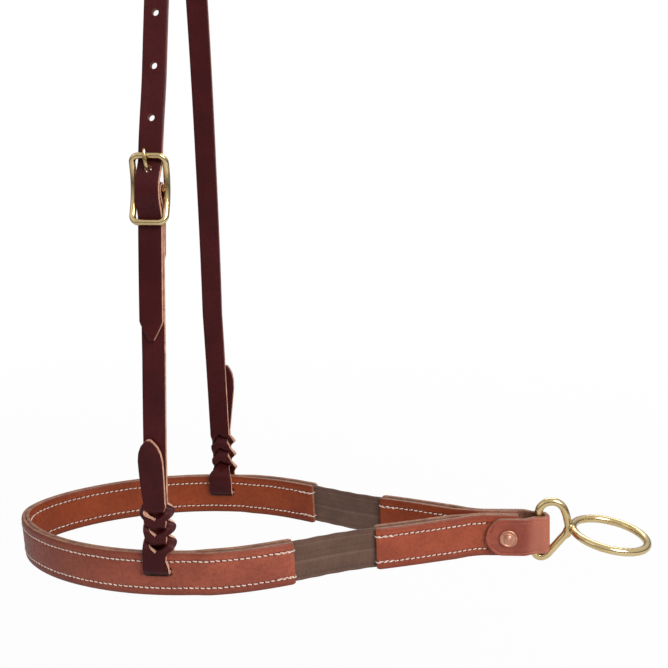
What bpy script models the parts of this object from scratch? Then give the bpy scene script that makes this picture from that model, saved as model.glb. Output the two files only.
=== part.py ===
"""Tie-down noseband for a western bridle, hung from its head hanger.

Metres, +Z up, +X towards the chin ring, -Y on the horse's near (left) side.
The origin is the underside of the crown, where it rests on the poll or a peg.
"""

import math

import bmesh
import bpy
from mathutils import Matrix, Vector

MM = 0.001

# Clearances
SEAT_GAP = 0.3 * MM
SLIDE_GAP = 0.45 * MM
SLIT_GAP = 1.0 * MM
SLIT_ROOM = 1.4 * MM
EDGE_GAP = 1.1 * MM
INSIDE_GAP = 0.5 * MM
CUT_OVERRUN = 2.0 * MM
KNOT_SLACK = 0.1 * MM
WELD_DISTANCE = 0.002 * MM
SLOPE_STEP = 1.0 * MM

# Noseband leather and elastic
BAND_HEIGHT = 25.4 * MM
LEATHER = 2.6 * MM
ELASTIC_THICKNESS = 2.0 * MM
ELASTIC_HEIGHT = 24.4 * MM
ELASTIC_TUCK = 46.0 * MM
TUCK_RAMP = 12.0 * MM
LEATHER_ROUND = 0.6 * MM
NOSE_REACH = 106.0 * MM
HALF_WIDTH = 58.75 * MM
NOSE_FULLNESS = 23.5 * MM
CHEEK_RUN = 62.0 * MM
WIDEST_X = 1.0 * MM
FRONT_END_X = 70.8 * MM
FRONT_END_SHARE = 0.7149
FRONT_END_ANGLE = math.radians(25.0)
CHIN_START_X = 116.0 * MM
CHIN_START_Y = 22.7 * MM
CHIN_START_ANGLE = math.radians(15.0)
CHIN_MEET_X = 180.0 * MM
CHIN_LENGTH = 18.5 * MM
NOSEBAND_RISE = math.radians(2.9)
SLIT_RISE = 2.0 * MM

# Chin tab, rivet and burr
TAB_HEIGHT = 22.8 * MM
TAB_CORNER = 3.5 * MM
TAB_LEAF_X = 179.5 * MM
TAB_FOLD_X = 216.8 * MM
TAB_FOLD_RADIUS = 2.65 * MM
TAB_FOLD_RUN = 2.4 * MM
TAB_NARROWING = 8.4 * MM
RIVET_X = 192.5 * MM
RIVET_RADIUS = 2.0 * MM
RIVET_HEAD_RADIUS = 5.2 * MM
RIVET_HEAD_HEIGHT = 1.3 * MM
BURR_RADIUS = 5.2 * MM
BURR_THICKNESS = 1.1 * MM
PEEN_RADIUS = 2.5 * MM
PEEN_HEIGHT = 1.1 * MM

# Cast loop and ring
WIRE_RADIUS = 2.3 * MM
RING_BORE = 38.1 * MM
LOOP_HALF_HEIGHT = 17.5 * MM
LOOP_BAR_HALF = 14.6 * MM
UPPER_SHOULDER = 8.3 * MM
LOWER_SHOULDER = 5.5 * MM
UPPER_FULLNESS = 1.12
LOWER_FULLNESS = 1.2
LOOP_DEPTH = 17.2 * MM
JUNCTION_RISE = 3.5 * MM
RING_OVERLAP = 2.7 * MM
RING_BEND = math.radians(1.0)
BOSS_RADIUS = 3.1 * MM
LOOP_X = 209.8 * MM
LOOP_LIFT = 2.6 * MM
LOOP_DROOP = math.radians(9.4)

# Hanger straps
STRAP_WIDTH = 12.7 * MM
STRAP = 3.0 * MM
STRAP_ROUND = 0.4 * MM
BAND_LOOP_WIDTH = 15.0 * MM
BOW_RADIUS = 1350.0 * MM
BOW_START = 60.0 * MM
LEAN = math.radians(10.5)
DRIFT_SHARES = (0.0, 0.12, 0.28, 0.5, 0.71, 1.0)
NEAR_DRIFTS = [x * MM for x in (-2.6, -2.1, -0.4, 0.2, 2.0, 4.2)]
OFF_DRIFTS = [x * MM for x in (4.6, 2.9, 0.9, 1.7, 3.1, 4.2)]
PEG_RADIUS = 12.7 * MM
LOOP_BEND = 2.4 * MM
NEAR_TAIL_LENGTH = 37.0 * MM
OFF_TAIL_LENGTH = 45.0 * MM
NEAR_TAIL_LEAN = -1.8 * MM
OFF_TAIL_LEAN = 4.5 * MM
NEAR_TAIL_LIFT = 0.3 * MM
OFF_TAIL_LIFT = 5.0 * MM
TAIL_WIDTH = 13.8 * MM
TAIL_TIP_WIDTH = 2.4 * MM
TAIL_SHARES = (0.12, 0.3, 0.5, 0.68, 0.8, 0.9, 0.96)
TAIL_WIDTH_SHARES = (0.93, 0.96, 1.0, 1.0, 0.9, 0.68, 0.42)

# Bloodknot
KNOT_FIRST = 17.2 * MM
KNOT_PITCH = 9.3 * MM
KNOT_DEPTH = 2.0 * MM
KNOT_HALF_WIDTH = 8.6 * MM
PASSING_HALF_WIDTH = 5.0 * MM
OPEN_START_SHARE = -0.3
OPEN_END_SHARE = 0.5
SWAP_START_SHARE = -0.2
SWAP_END_SHARE = 0.4
BUNCHING_SHARE = 0.3
EDGE_RISE_SHARE = 0.68
EDGE_DROP_SHARE = 0.42
KNOT_STEPS = 8

# Buckle and billet
BUCKLE_HEIGHT = 210.5 * MM
BUCKLE_HALF_LENGTH = 16.9 * MM
BUCKLE_ARCH = 4.0 * MM
BUCKLE_WIRE = 1.7 * MM
CENTRE_BAR = 1.6 * MM
BUCKLE_CORNER = 3.6 * MM
BUCKLE_SIDE_GAP = 0.8 * MM
FOLD_LEATHER = 2.0 * MM
FOLD_RISE_START = 12.0 * MM
FOLD_RISE_END = 1.0 * MM
TURN_BACK = 42.0 * MM
TURN_BACK_SETTLE = 12.0 * MM
TURN_BACK_SHARE = 0.8
BILLET_SETTLE = 45.0 * MM
BILLET_TAIL = 78.5 * MM
BILLET_POINT = 10.0 * MM
BILLET_POINT_WIDTH = 3.0 * MM
TONGUE_WIRE = 1.0 * MM
TONGUE_EYE_GAP = 0.3 * MM
TONGUE_EYE_START = math.radians(-258)
TONGUE_EYE_END = math.radians(40)
TONGUE_DIP = 0.2 * MM
TONGUE_SIDE_LEAN = -0.9 * MM
SHANK_UP_SHARES = (0.35, 0.65, 0.85, 1.0)
SHANK_OUT_SHARES = (0.45, 0.3, 0.52, 1.0)
LIFT_UP_SHARES = (0.14, 0.34, 0.64, 1.0)
LIFT_OUT_SHARES = (0.4, 0.76, 0.95, 1.0)
TONGUE_HOLE = 9.5 * MM
TONGUE_HOLE_RADIUS = 1.8 * MM
TONGUE_TIP_PAST_BAR = 3.4 * MM
TONGUE_SLOT = 3.2 * MM
HOLE_PITCH = 26.7 * MM
HOLE_RADIUS = 1.8 * MM
SPARE_HOLES = 5

# Sampling
CURVE_STEPS = 14
BOW_STEPS = 9
BEND_STEPS = 6
CROWN_STEPS = 12
BILLET_STEPS = 6
ROUND_SIDES = 24

# Finishes: colour, roughness and how metallic
BAND_LEATHER = ((0.19, 0.045, 0.022), 0.42, 0.0)
HANGER_LEATHER = ((0.035, 0.012, 0.012), 0.35, 0.0)
WEBBING = ((0.14, 0.085, 0.06), 0.85, 0.0)
BRASS = ((0.8, 0.6, 0.33), 0.22, 1.0)
COPPER = ((0.62, 0.25, 0.13), 0.35, 1.0)

# What follows from the sizes above
STACK_HALF = SEAT_GAP / 2 + LEATHER
TUCK_OFFSET = ELASTIC_THICKNESS / 2 + SEAT_GAP
PLY_OFFSET = SEAT_GAP / 2
FACE_OUT = STACK_HALF + SLIDE_GAP + STRAP / 2
LAYER_STEP = (STRAP + SEAT_GAP) / 2
KNOT_FRONT = KNOT_DEPTH + LAYER_STEP
KNOT_BACK = KNOT_DEPTH - LAYER_STEP
KNOT_TOP = KNOT_FIRST + 2.5 * KNOT_PITCH
CROWN_RADIUS = PEG_RADIUS + STRAP / 2
HANG_OUT = HALF_WIDTH + KNOT_BACK
BOW_LENGTH = BOW_RADIUS * LEAN
BOW_END_OUT = HANG_OUT - BOW_RADIUS * (1 - math.cos(LEAN))
STRAIGHT = (BOW_END_OUT - CROWN_RADIUS * math.cos(LEAN)) / math.sin(LEAN)
HANGER_DROP = (BOW_START + BOW_RADIUS * math.sin(LEAN) + STRAIGHT * math.cos(LEAN)
               - CROWN_RADIUS * math.sin(LEAN) + PEG_RADIUS)
CROWN_ARC = CROWN_RADIUS * (math.pi / 2 - LEAN)
CROWN_DRIFT = NEAR_DRIFTS[-1]
HANGER_HALF = BOW_LENGTH + STRAIGHT + CROWN_ARC
BUCKLE_S = BOW_RADIUS * math.asin((BUCKLE_HEIGHT - BOW_START) / BOW_RADIUS)
BAR_OFFSET = STRAP / 2 + SEAT_GAP + STRAP + SEAT_GAP + BUCKLE_WIRE - BUCKLE_ARCH
BILLET_STEP = STRAP + SEAT_GAP
TONGUE_EYE = CENTRE_BAR + TONGUE_EYE_GAP + TONGUE_WIRE
FOLD_RADIUS = CENTRE_BAR + SEAT_GAP + FOLD_LEATHER / 2
BILLET_PEAK = BAR_OFFSET + FOLD_RADIUS + FOLD_LEATHER / 2 + SEAT_GAP * 1.5 + STRAP / 2


def clear_scene():
    for thing in list(bpy.data.objects):
        bpy.data.objects.remove(thing, do_unlink=True)


def collection(name):
    group = bpy.data.collections.new(name)
    bpy.context.scene.collection.children.link(group)
    return group


def material(name, colour, roughness, metallic):
    made = bpy.data.materials.new(name + "_finish")
    made.use_nodes = True
    shader = made.node_tree.nodes["Principled BSDF"]
    shader.inputs["Base Color"].default_value = (*colour, 1.0)
    shader.inputs["Roughness"].default_value = roughness
    shader.inputs["Metallic"].default_value = metallic
    made.diffuse_color = (*colour, 1.0)
    return made


def ease(start, end, value):
    share = min(max((value - start) / (end - start), 0.0), 1.0)
    return share * share * (3 - 2 * share)


def between(low, high, steps):
    return [low + (high - low) * i / steps for i in range(steps + 1)]


def mesh_object(name, mesh, paint, group, parent=None):
    made = bpy.data.objects.new(name, mesh)
    group.objects.link(made)
    if paint:
        mesh.materials.clear()
        mesh.materials.append(material(name, *paint))
    if parent:
        made.parent = parent
    return made


def curve_object(name, splines, closed, radius=0.0, half_height=0.0, resolution=2):
    """A 3D wire when radius is given, or a filled flat outline with a half height."""
    data = bpy.data.curves.new(name, "CURVE")
    data.dimensions = "2D" if half_height else "3D"
    for points in splines:
        spline = data.splines.new("POLY")
        spline.points.add(len(points) - 1)
        for point, place in zip(spline.points, points):
            point.co = (*place, *([0.0] * (3 - len(place))), 1.0)
        spline.use_cyclic_u = closed
    if half_height:
        data.fill_mode = "BOTH"
        data.extrude = half_height
    else:
        data.bevel_depth = radius
        data.bevel_resolution = resolution
        data.use_fill_caps = not closed
    made = bpy.data.objects.new(name, data)
    bpy.context.scene.collection.objects.link(made)
    return made


def as_mesh(curve, group, paint=None, parent=None):
    """Turns a curve object into a welded mesh object of the same name."""
    name = curve.name
    bpy.context.view_layer.update()
    depsgraph = bpy.context.evaluated_depsgraph_get()
    mesh = bpy.data.meshes.new_from_object(curve.evaluated_get(depsgraph))
    work = bmesh.new()
    work.from_mesh(mesh)
    bmesh.ops.remove_doubles(work, verts=work.verts, dist=WELD_DISTANCE)
    bmesh.ops.recalc_face_normals(work, faces=work.faces)
    work.to_mesh(mesh)
    work.free()
    matrix = curve.matrix_world.copy()
    bpy.data.objects.remove(curve, do_unlink=True)
    made = mesh_object(name, mesh, paint, group, parent)
    made.matrix_local = matrix
    return made


def boolean(target, cutter, operation="DIFFERENCE"):
    step = target.modifiers.new(operation.lower(), "BOOLEAN")
    step.operation = operation
    step.object = cutter
    step.solver = "EXACT"
    return step


def bevel(target, width, segments=1, angle=50.0):
    step = target.modifiers.new("rounded_edges", "BEVEL")
    step.width = width
    step.segments = segments
    step.limit_method = "ANGLE"
    step.angle_limit = math.radians(angle)
    return step


def hide(cutter):
    cutter.hide_render = True
    cutter.display_type = "WIRE"


def box_cutter(name, size, place, parent=None, matrix=None):
    mesh = bpy.data.meshes.new(name)
    work = bmesh.new()
    bmesh.ops.create_cube(work, size=1.0)
    bmesh.ops.scale(work, vec=size, verts=work.verts)
    work.to_mesh(mesh)
    work.free()
    made = mesh_object(name, mesh, None, CUTTERS, parent)
    made.matrix_local = matrix or Matrix.Translation(place)
    hide(made)
    return made


def cylinder_cutter(name, radius, length, place, direction, parent=None):
    mesh = bpy.data.meshes.new(name)
    work = bmesh.new()
    bmesh.ops.create_cone(work, cap_ends=True, segments=ROUND_SIDES, radius1=radius,
                          radius2=radius, depth=length)
    work.to_mesh(mesh)
    work.free()
    made = mesh_object(name, mesh, None, CUTTERS, parent)
    turn = Vector((0, 0, 1)).rotation_difference(Vector(direction)).to_matrix().to_4x4()
    made.matrix_local = Matrix.Translation(place) @ turn
    hide(made)
    return made


def smooth(target, angle=40.0):
    target.data.shade_smooth()
    target.data.set_sharp_from_angle(angle=math.radians(angle))


# Plan of the noseband

def bezier(start, start_handle, end_handle, end, steps=CURVE_STEPS):
    points = []
    for share in between(0.0, 1.0, steps):
        rest = 1 - share
        points.append(start * rest ** 3 + start_handle * 3 * rest ** 2 * share
                      + end_handle * 3 * rest * share ** 2 + end * share ** 3)
    return points


def heading(angle):
    return Vector((math.cos(angle), -math.sin(angle)))


class PlanLine:
    """Middle line of one half of the noseband, from the nose to the chin, at +Y."""

    def __init__(self):
        nose = Vector((-NOSE_REACH, 0))
        widest = Vector((WIDEST_X, HALF_WIDTH))
        front = Vector((FRONT_END_X, HALF_WIDTH * FRONT_END_SHARE))
        chin = Vector((CHIN_START_X, CHIN_START_Y))
        meet = Vector((CHIN_MEET_X, STACK_HALF + SEAT_GAP / 2))
        span = (chin - front).length
        self.points = bezier(nose, nose + Vector((0, NOSE_FULLNESS)),
                             widest - Vector((CHEEK_RUN, 0)), widest)
        run = (front.x - widest.x) / 2.5
        self.points += bezier(widest, widest + Vector((run, 0)),
                              front - heading(FRONT_END_ANGLE) * run, front)[1:]
        self.front = self.length()
        self.points += bezier(front, front + heading(FRONT_END_ANGLE) * span / 3,
                              chin - heading(CHIN_START_ANGLE) * span / 3, chin, 8)[1:]
        self.chin = self.length()
        reach = meet.x - chin.x
        self.points += bezier(chin, chin + heading(CHIN_START_ANGLE) * reach / 2.4,
                              meet - Vector((reach / 5, 0)), meet)[1:]
        self.points.append(meet + Vector((CHIN_LENGTH, 0)))
        self.end = self.length()

    def length(self):
        return sum((b - a).length for a, b in zip(self.points, self.points[1:]))

    def at(self, distance):
        """Point and outward normal at a distance from the nose."""
        gone = 0.0
        for i, (a, b) in enumerate(zip(self.points, self.points[1:])):
            step = (b - a).length
            if distance <= gone + step or i == len(self.points) - 2:
                share = (distance - gone) / step
                before = self.points[i - 1] if i else Vector((b.x, -b.y))
                after = self.points[min(i + 2, len(self.points) - 1)]
                direction = (b - before).normalized().lerp((after - a).normalized(), share)
                direction.normalize()
                return a.lerp(b, share), Vector((-direction.y, direction.x))
            gone += step

    def stations(self, start, end, spacing):
        return between(start, end, max(2, round((end - start) / spacing)))


PLAN = PlanLine()
LAYER_SPACING = 6.0 * MM


def tuck(distance):
    """How far the plies stand off the middle line, 0 where they meet and 1 over the elastic."""
    front = ease(PLAN.front - ELASTIC_TUCK - TUCK_RAMP, PLAN.front - ELASTIC_TUCK, distance)
    chin = 1 - ease(PLAN.chin + ELASTIC_TUCK, PLAN.chin + ELASTIC_TUCK + TUCK_RAMP, distance)
    return front if distance < (PLAN.front + PLAN.chin) / 2 else chin


def ply_offsets(outer):
    """Low and high offset of a leather ply from the middle line."""
    def near_face(distance):
        return PLY_OFFSET + (TUCK_OFFSET - PLY_OFFSET) * tuck(distance)

    if outer:
        return near_face, lambda d: near_face(d) + LEATHER
    return lambda d: -near_face(d) - LEATHER, lambda d: -near_face(d)


def half_outline(start, end, low, high, side):
    """Closed outline of a layer on one side; side is 1 for the off side, -1 for the near."""
    stations = PLAN.stations(start, end, LAYER_SPACING)
    sides = []
    for offset in (low, high):
        line = []
        for distance in stations:
            point, normal = PLAN.at(distance)
            place = point + normal * offset(distance)
            line.append((place.x, side * place.y))
        sides.append(line)
    return sides


def strap_along_plan(name, start, end, outer, side, paint):
    """One ply, or the elastic when outer is None. side 0 runs round the nose."""
    if outer is None:
        half = ELASTIC_THICKNESS / 2
        low, high = (lambda d: -half), (lambda d: half)
    else:
        low, high = ply_offsets(outer)
    if side:
        inner, rim = half_outline(start, end, low, high, side)
    else:
        near_low, near_high = half_outline(start, end, low, high, -1)
        off_low, off_high = half_outline(start, end, low, high, 1)
        inner = list(reversed(near_low))[:-1] + off_low
        rim = list(reversed(near_high))[:-1] + off_high
    height = ELASTIC_HEIGHT if outer is None else BAND_HEIGHT
    flat = curve_object(name, [inner + list(reversed(rim))], True, half_height=height / 2)
    made = as_mesh(flat, PARTS, paint, NOSEBAND)
    if outer is not None:
        bevel(made, LEATHER_ROUND)
    smooth(made)
    return made


def nose_straps(paint):
    for name, outer in (("nose_strap_outer", True), ("nose_strap_liner", False)):
        ply = strap_along_plan(name, 0.0, PLAN.front, outer, 0, paint)
        for side in (-1, 1):
            size = (BAND_LOOP_WIDTH + 2 * SLIT_GAP, STACK_HALF * 4, STRAP + 2 * SLIT_ROOM)
            place = (OFF_DRIFTS[0] if side > 0 else NEAR_DRIFTS[0], side * HALF_WIDTH, SLIT_RISE)
            boolean(ply, box_cutter(name + "_slit", size, place, NOSEBAND))


def elastics(paint):
    for name, side in (("near_elastic", -1), ("off_elastic", 1)):
        strap_along_plan(name, PLAN.front - ELASTIC_TUCK, PLAN.chin + ELASTIC_TUCK, None, side, paint)


def chin_straps(paint):
    for word, side in (("near", -1), ("off", 1)):
        for layer, outer in (("outer", True), ("liner", False)):
            name = word + "_chin_strap_" + layer
            ply = strap_along_plan(name, PLAN.chin, PLAN.end, outer, side, paint)
            boolean(ply, rivet_hole(name + "_hole"))


def rivet_hole(name):
    return cylinder_cutter(name, RIVET_RADIUS + SEAT_GAP, TAB_OUT * 4, (RIVET_X, 0, 0),
                           (0, 1, 0), NOSEBAND)


# Chin tab with its rivet

TAB_IN = SEAT_GAP / 2 + 2 * STACK_HALF + SEAT_GAP / 2 + SEAT_GAP / 2
TAB_OUT = TAB_IN + LEATHER


def fold_outline(half, radius):
    """One face of the folded tab in plan, from the near leaf round the bar to the off leaf."""
    centre = TAB_FOLD_X - LEATHER - TAB_FOLD_RADIUS
    start = centre - TAB_FOLD_RUN - TAB_NARROWING
    line = [(TAB_LEAF_X - CUT_OVERRUN, -half)]
    for share in between(0.0, 1.0, BEND_STEPS):
        place = start + TAB_NARROWING * share
        line.append((place, -half + (half - radius) * ease(0.0, 1.0, share)))
    for angle in between(-math.pi / 2, math.pi / 2, 2 * BEND_STEPS):
        line.append((centre + radius * math.cos(angle), radius * math.sin(angle)))
    mirrored = [(x, -y) for x, y in reversed(line[:BEND_STEPS + 2])]
    return line + mirrored


def chin_tab(paint):
    outside = fold_outline(TAB_OUT, TAB_FOLD_RADIUS + LEATHER)
    inside = fold_outline(TAB_IN, TAB_FOLD_RADIUS)
    flat = curve_object("chin_tab", [outside + list(reversed(inside))], True,
                        half_height=TAB_HEIGHT / 2)
    made = as_mesh(flat, PARTS, paint, NOSEBAND)
    half = TAB_HEIGHT / 2
    radius = half * 1.04
    leaf = [(TAB_LEAF_X + radius - radius * math.cos(a), radius * math.sin(a))
            for a in between(-math.pi / 2, math.pi / 2, 2 * BEND_STEPS)]
    far = TAB_FOLD_X + SEAT_GAP
    for angle in between(math.pi / 2, 0.0, BEND_STEPS):
        leaf.append((far - TAB_CORNER + TAB_CORNER * math.cos(angle),
                     half - TAB_CORNER + (TAB_CORNER + SEAT_GAP) * math.sin(angle)))
    leaf += [(x, -z) for x, z in reversed(leaf[-BEND_STEPS - 1:])]
    shape = curve_object("tab_leaf_shape", [leaf], True, half_height=TAB_OUT * 2)
    shape = as_mesh(shape, CUTTERS, None, NOSEBAND)
    shape.matrix_local = Matrix.Rotation(math.pi / 2, 4, "X")
    hide(shape)
    boolean(made, shape, "INTERSECT")
    boolean(made, rivet_hole("tab_hole"))
    bevel(made, LEATHER_ROUND)
    smooth(made)


def turned(name, profile, paint, group, parent, matrix, closed=False):
    """A solid turned round its local Z from a profile that runs down its outer side."""
    mesh = bpy.data.meshes.new(name)
    work = bmesh.new()
    corners = [work.verts.new((x, 0, z)) for x, z in profile]
    for a, b in zip(corners, corners[1:]):
        work.edges.new((a, b))
    if closed:
        work.edges.new((corners[-1], corners[0]))
    work.to_mesh(mesh)
    work.free()
    made = mesh_object(name, mesh, paint, group, parent)
    made.matrix_local = matrix
    step = made.modifiers.new("turned", "SCREW")
    step.angle = 2 * math.pi
    step.steps = ROUND_SIDES
    step.render_steps = ROUND_SIDES
    step.use_merge_vertices = True
    step.merge_threshold = WELD_DISTANCE
    step.use_smooth_shade = True
    return made


def rivet_and_burr(copper):
    """The head lies on the off leaf, the burr and the peened end on the near leaf."""
    out = Matrix.Translation((RIVET_X, 0, 0)) @ Matrix.Rotation(math.pi / 2, 4, "X")
    burr_low = TAB_OUT + SEAT_GAP
    burr_top = burr_low + BURR_THICKNESS
    peen_low = burr_top + SEAT_GAP
    head_low = -TAB_OUT - SEAT_GAP
    peen = [(PEEN_RADIUS * math.cos(a), peen_low + PEEN_HEIGHT * math.sin(a))
            for a in reversed(between(0.0, math.pi / 2, 4))]
    head = [(RIVET_HEAD_RADIUS * math.cos(a) ** 0.5, head_low - RIVET_HEAD_HEIGHT * math.sin(a))
            for a in between(0.0, math.pi / 2, 5)[:-1]]
    profile = ([(0, peen_low + PEEN_HEIGHT)] + peen[1:] + [(RIVET_RADIUS, peen_low)]
               + [(RIVET_RADIUS, head_low)] + head + [(0, head_low - RIVET_HEAD_HEIGHT)])
    turned("rivet", profile, copper, PARTS, NOSEBAND, out)
    bore = RIVET_RADIUS + SEAT_GAP
    dish = BURR_THICKNESS / 3
    ring = [(bore, burr_top), (BURR_RADIUS - dish, burr_top), (BURR_RADIUS, burr_top - dish),
            (BURR_RADIUS, burr_low), (bore, burr_low)]
    turned("rivet_burr", ring, copper, PARTS, NOSEBAND, out, True)


# Cast loop and ring

def loop_line():
    """Middle line of the loop in its own XZ plane, up from the bar's middle and round."""
    line = []
    rise = LOOP_HALF_HEIGHT - LOOP_BAR_HALF
    for side, shoulder, fullness in ((1, UPPER_SHOULDER, UPPER_FULLNESS),
                                     (-1, LOWER_SHOULDER, LOWER_FULLNESS)):
        half = [(0.0, side * z) for z in between(0.0, LOOP_BAR_HALF, 3)]
        for angle in between(0.0, math.pi / 2, BEND_STEPS)[1:]:
            half.append((shoulder * (1 - math.cos(angle)),
                         side * (LOOP_BAR_HALF + rise * math.sin(angle))))
        reach = LOOP_DEPTH - shoulder
        fall = side * LOOP_HALF_HEIGHT - JUNCTION_RISE
        for angle in between(0.0, math.pi / 2, BEND_STEPS + 2)[1:]:
            half.append((shoulder + reach * math.sin(angle) ** fullness,
                         JUNCTION_RISE + fall * max(math.cos(angle), 0.0) ** fullness))
        line += half if side > 0 else list(reversed(half[1:-1]))
    return [(x, 0.0, z) for x, z in line]


def loop_ring(brass):
    wire = curve_object("loop_ring", [loop_line()], True, radius=WIRE_RADIUS, resolution=4)
    made = as_mesh(wire, PARTS, brass, RING_PIVOT)
    ring_radius = RING_BORE / 2 + WIRE_RADIUS
    centre = RING_OVERLAP + ring_radius
    circle = [(centre + ring_radius * math.cos(a), ring_radius * math.sin(a), 0.0)
              for a in between(0.0, 2 * math.pi, 40)[:-1]]
    ring = as_mesh(curve_object("ring_wire", [circle], True, radius=WIRE_RADIUS, resolution=4),
                   CUTTERS, None, RING_PIVOT)
    junction = Matrix.Translation((LOOP_DEPTH, 0, JUNCTION_RISE)) @ Matrix.Rotation(RING_BEND, 4, "Y")
    ring.matrix_local = junction
    hide(ring)
    boolean(made, ring, "UNION")
    mesh = bpy.data.meshes.new("cast_boss")
    work = bmesh.new()
    bmesh.ops.create_uvsphere(work, u_segments=12, v_segments=8, radius=BOSS_RADIUS)
    work.to_mesh(mesh)
    work.free()
    boss = mesh_object("cast_boss", mesh, None, CUTTERS, RING_PIVOT)
    boss.matrix_local = junction @ Matrix.Translation((RING_OVERLAP / 2, 0, 0))
    hide(boss)
    boolean(made, boss, "UNION")
    smooth(made)


# Hanger straps with their bloodknots

class Cut:
    """One section of a strap: middle point, thickness direction and half sizes.

    out is measured outwards from the noseband's middle, up from its slit. When split, the
    strap is two strands whose inner edges stand split_in from the middle.
    """

    def __init__(self, out, up, half, thick=STRAP / 2, turn=0.0, split_in=0.0, strand=0.0, shift=0.0):
        self.out, self.up, self.half, self.thick, self.shift = out, up, half, thick, shift
        self.turn, self.split_in, self.strand = turn, split_in, strand

    def corner(self, x, face):
        return (x + self.shift, self.out + face * self.thick * math.cos(self.turn),
                self.up + face * self.thick * math.sin(self.turn))

    def strands(self):
        if not self.split_in:
            edges = [(-self.half, 0.0), (0.0, self.half)]
        else:
            far = self.split_in + self.strand
            edges = [(-far, -self.split_in), (self.split_in, far)]
        return [[self.corner(a, 1), self.corner(b, 1), self.corner(b, -1), self.corner(a, -1)]
                for a, b in edges]


def strap_mesh(name, cuts, place):
    """Skins a strap through its cuts; closed cuts share their middle edge, split ones do not."""
    mesh = bpy.data.meshes.new(name)
    work = bmesh.new()
    rows = []
    for cut in cuts:
        left, right = cut.strands()
        left = [work.verts.new(place(*c)) for c in left]
        if cut.split_in:
            right = [work.verts.new(place(*c)) for c in right]
        else:
            far = [work.verts.new(place(*right[i])) for i in (1, 2)]
            right = [left[1], far[0], far[1], left[2]]
        rows.append((left, right, bool(cut.split_in)))
    for (left_a, right_a, open_a), (left_b, right_b, open_b) in zip(rows, rows[1:]):
        for strand_a, strand_b, inner in ((left_a, left_b, 1), (right_a, right_b, 3)):
            for i in range(4):
                if i == inner and not (open_a or open_b):
                    continue
                j = (i + 1) % 4
                work.faces.new((strand_a[i], strand_a[j], strand_b[j], strand_b[i]))
    for left, right, _ in (rows[0], rows[-1]):
        work.faces.new((left[0], left[1], right[1], right[2], left[2], left[3]))
    bmesh.ops.recalc_face_normals(work, faces=work.faces)
    work.to_mesh(mesh)
    work.free()
    return mesh


def spread(share):
    if share < OPEN_START_SHARE:
        return (share + 1) / (OPEN_START_SHARE + 1)
    return 1 - ease(OPEN_END_SHARE, 1.0, share)


def splitting_cut(share, up, front, back, half):
    """The strap whose slit opens round the other one, moving from the front to the back."""
    opening = spread(share)
    out = front + (back - front) * ease(SWAP_START_SHARE, SWAP_END_SHARE, share)
    edge = PASSING_HALF_WIDTH + SEAT_GAP + KNOT_SLACK
    if opening <= 0.001:
        return Cut(out, up, half)
    bunch = opening * ease(-0.6, 0.0, share) * (1 - ease(0.2, 0.7, share))
    return Cut(out, up, half, STRAP / 2 * (1 + BUNCHING_SHARE * bunch), 0.0, edge * opening,
               half + (KNOT_HALF_WIDTH - edge - half) * opening)


def passing_half(share):
    narrow = ease(-1.0, OPEN_START_SHARE, share) * (1 - ease(OPEN_END_SHARE, 1.0, share))
    return STRAP_WIDTH / 2 + (PASSING_HALF_WIDTH - STRAP_WIDTH / 2) * narrow


def passing_cut(share, up, back, front):
    """The strap that goes through the slit, moving from the back to the front."""
    out = back + (front - back) * ease(SWAP_START_SHARE, SWAP_END_SHARE, share)
    return Cut(out, up, passing_half(share))


def crossing(number, splitting, front=KNOT_FRONT, half=STRAP_WIDTH / 2):
    """Cuts of one strap through crossing 1, 2 or 3, from the bottom up."""
    middle = KNOT_FIRST + (number - 1) * KNOT_PITCH
    cuts = []
    for share in between(-1.0, 1.0, KNOT_STEPS):
        up = middle + share * KNOT_PITCH / 2
        if splitting:
            width = half + (STRAP_WIDTH / 2 - half) * ease(-1.0, 1.0, share)
            cuts.append(splitting_cut(share, up, front, KNOT_BACK, width))
        else:
            cuts.append(passing_cut(share, up, KNOT_BACK, KNOT_FRONT))
    return cuts


def tail_cuts(length, lean, lift):
    """Leaf-shaped tail lying on the cheek strap, from the knot up, leaning and lifting to its tip."""
    cuts = []
    for share, width_share in zip(TAIL_SHARES, TAIL_WIDTH_SHARES):
        cuts.append(Cut(KNOT_FRONT + lift * share ** 2, KNOT_TOP + length * share,
                        TAIL_WIDTH / 2 * width_share, shift=lean * share))
    cuts.append(Cut(KNOT_FRONT + lift, KNOT_TOP + length, TAIL_TIP_WIDTH / 2, shift=lean))
    return cuts


def over_edge_cuts():
    """From the inner face over the top edge of the noseband to the front of the knot."""
    low = Vector((-FACE_OUT - INSIDE_GAP, BAND_HEIGHT / 2 - SLIT_RISE - EDGE_GAP))
    high = Vector((KNOT_FRONT, KNOT_FIRST + KNOT_PITCH / 4))
    climb = high.y - low.y
    line = bezier(low, low + Vector((0, climb * EDGE_RISE_SHARE)),
                  high - Vector((0, climb * EDGE_DROP_SHARE)), high, KNOT_STEPS + 2)
    cuts = []
    for before, here, after in zip([low] + line, line, line[1:] + [high]):
        slope = (after - before).normalized()
        share = (here.y - KNOT_FIRST) / (KNOT_PITCH / 2)
        wider = (BAND_LOOP_WIDTH - STRAP_WIDTH) / 2 * (1 - ease(low.y, KNOT_FIRST, here.y))
        cuts.append(Cut(here.x, here.y, passing_half(max(share, -1.0)) + wider,
                        turn=-math.asin(slope.x)))
    cuts.append(Cut(KNOT_FRONT, KNOT_FIRST + KNOT_PITCH / 2, STRAP_WIDTH / 2))
    return cuts


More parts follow.
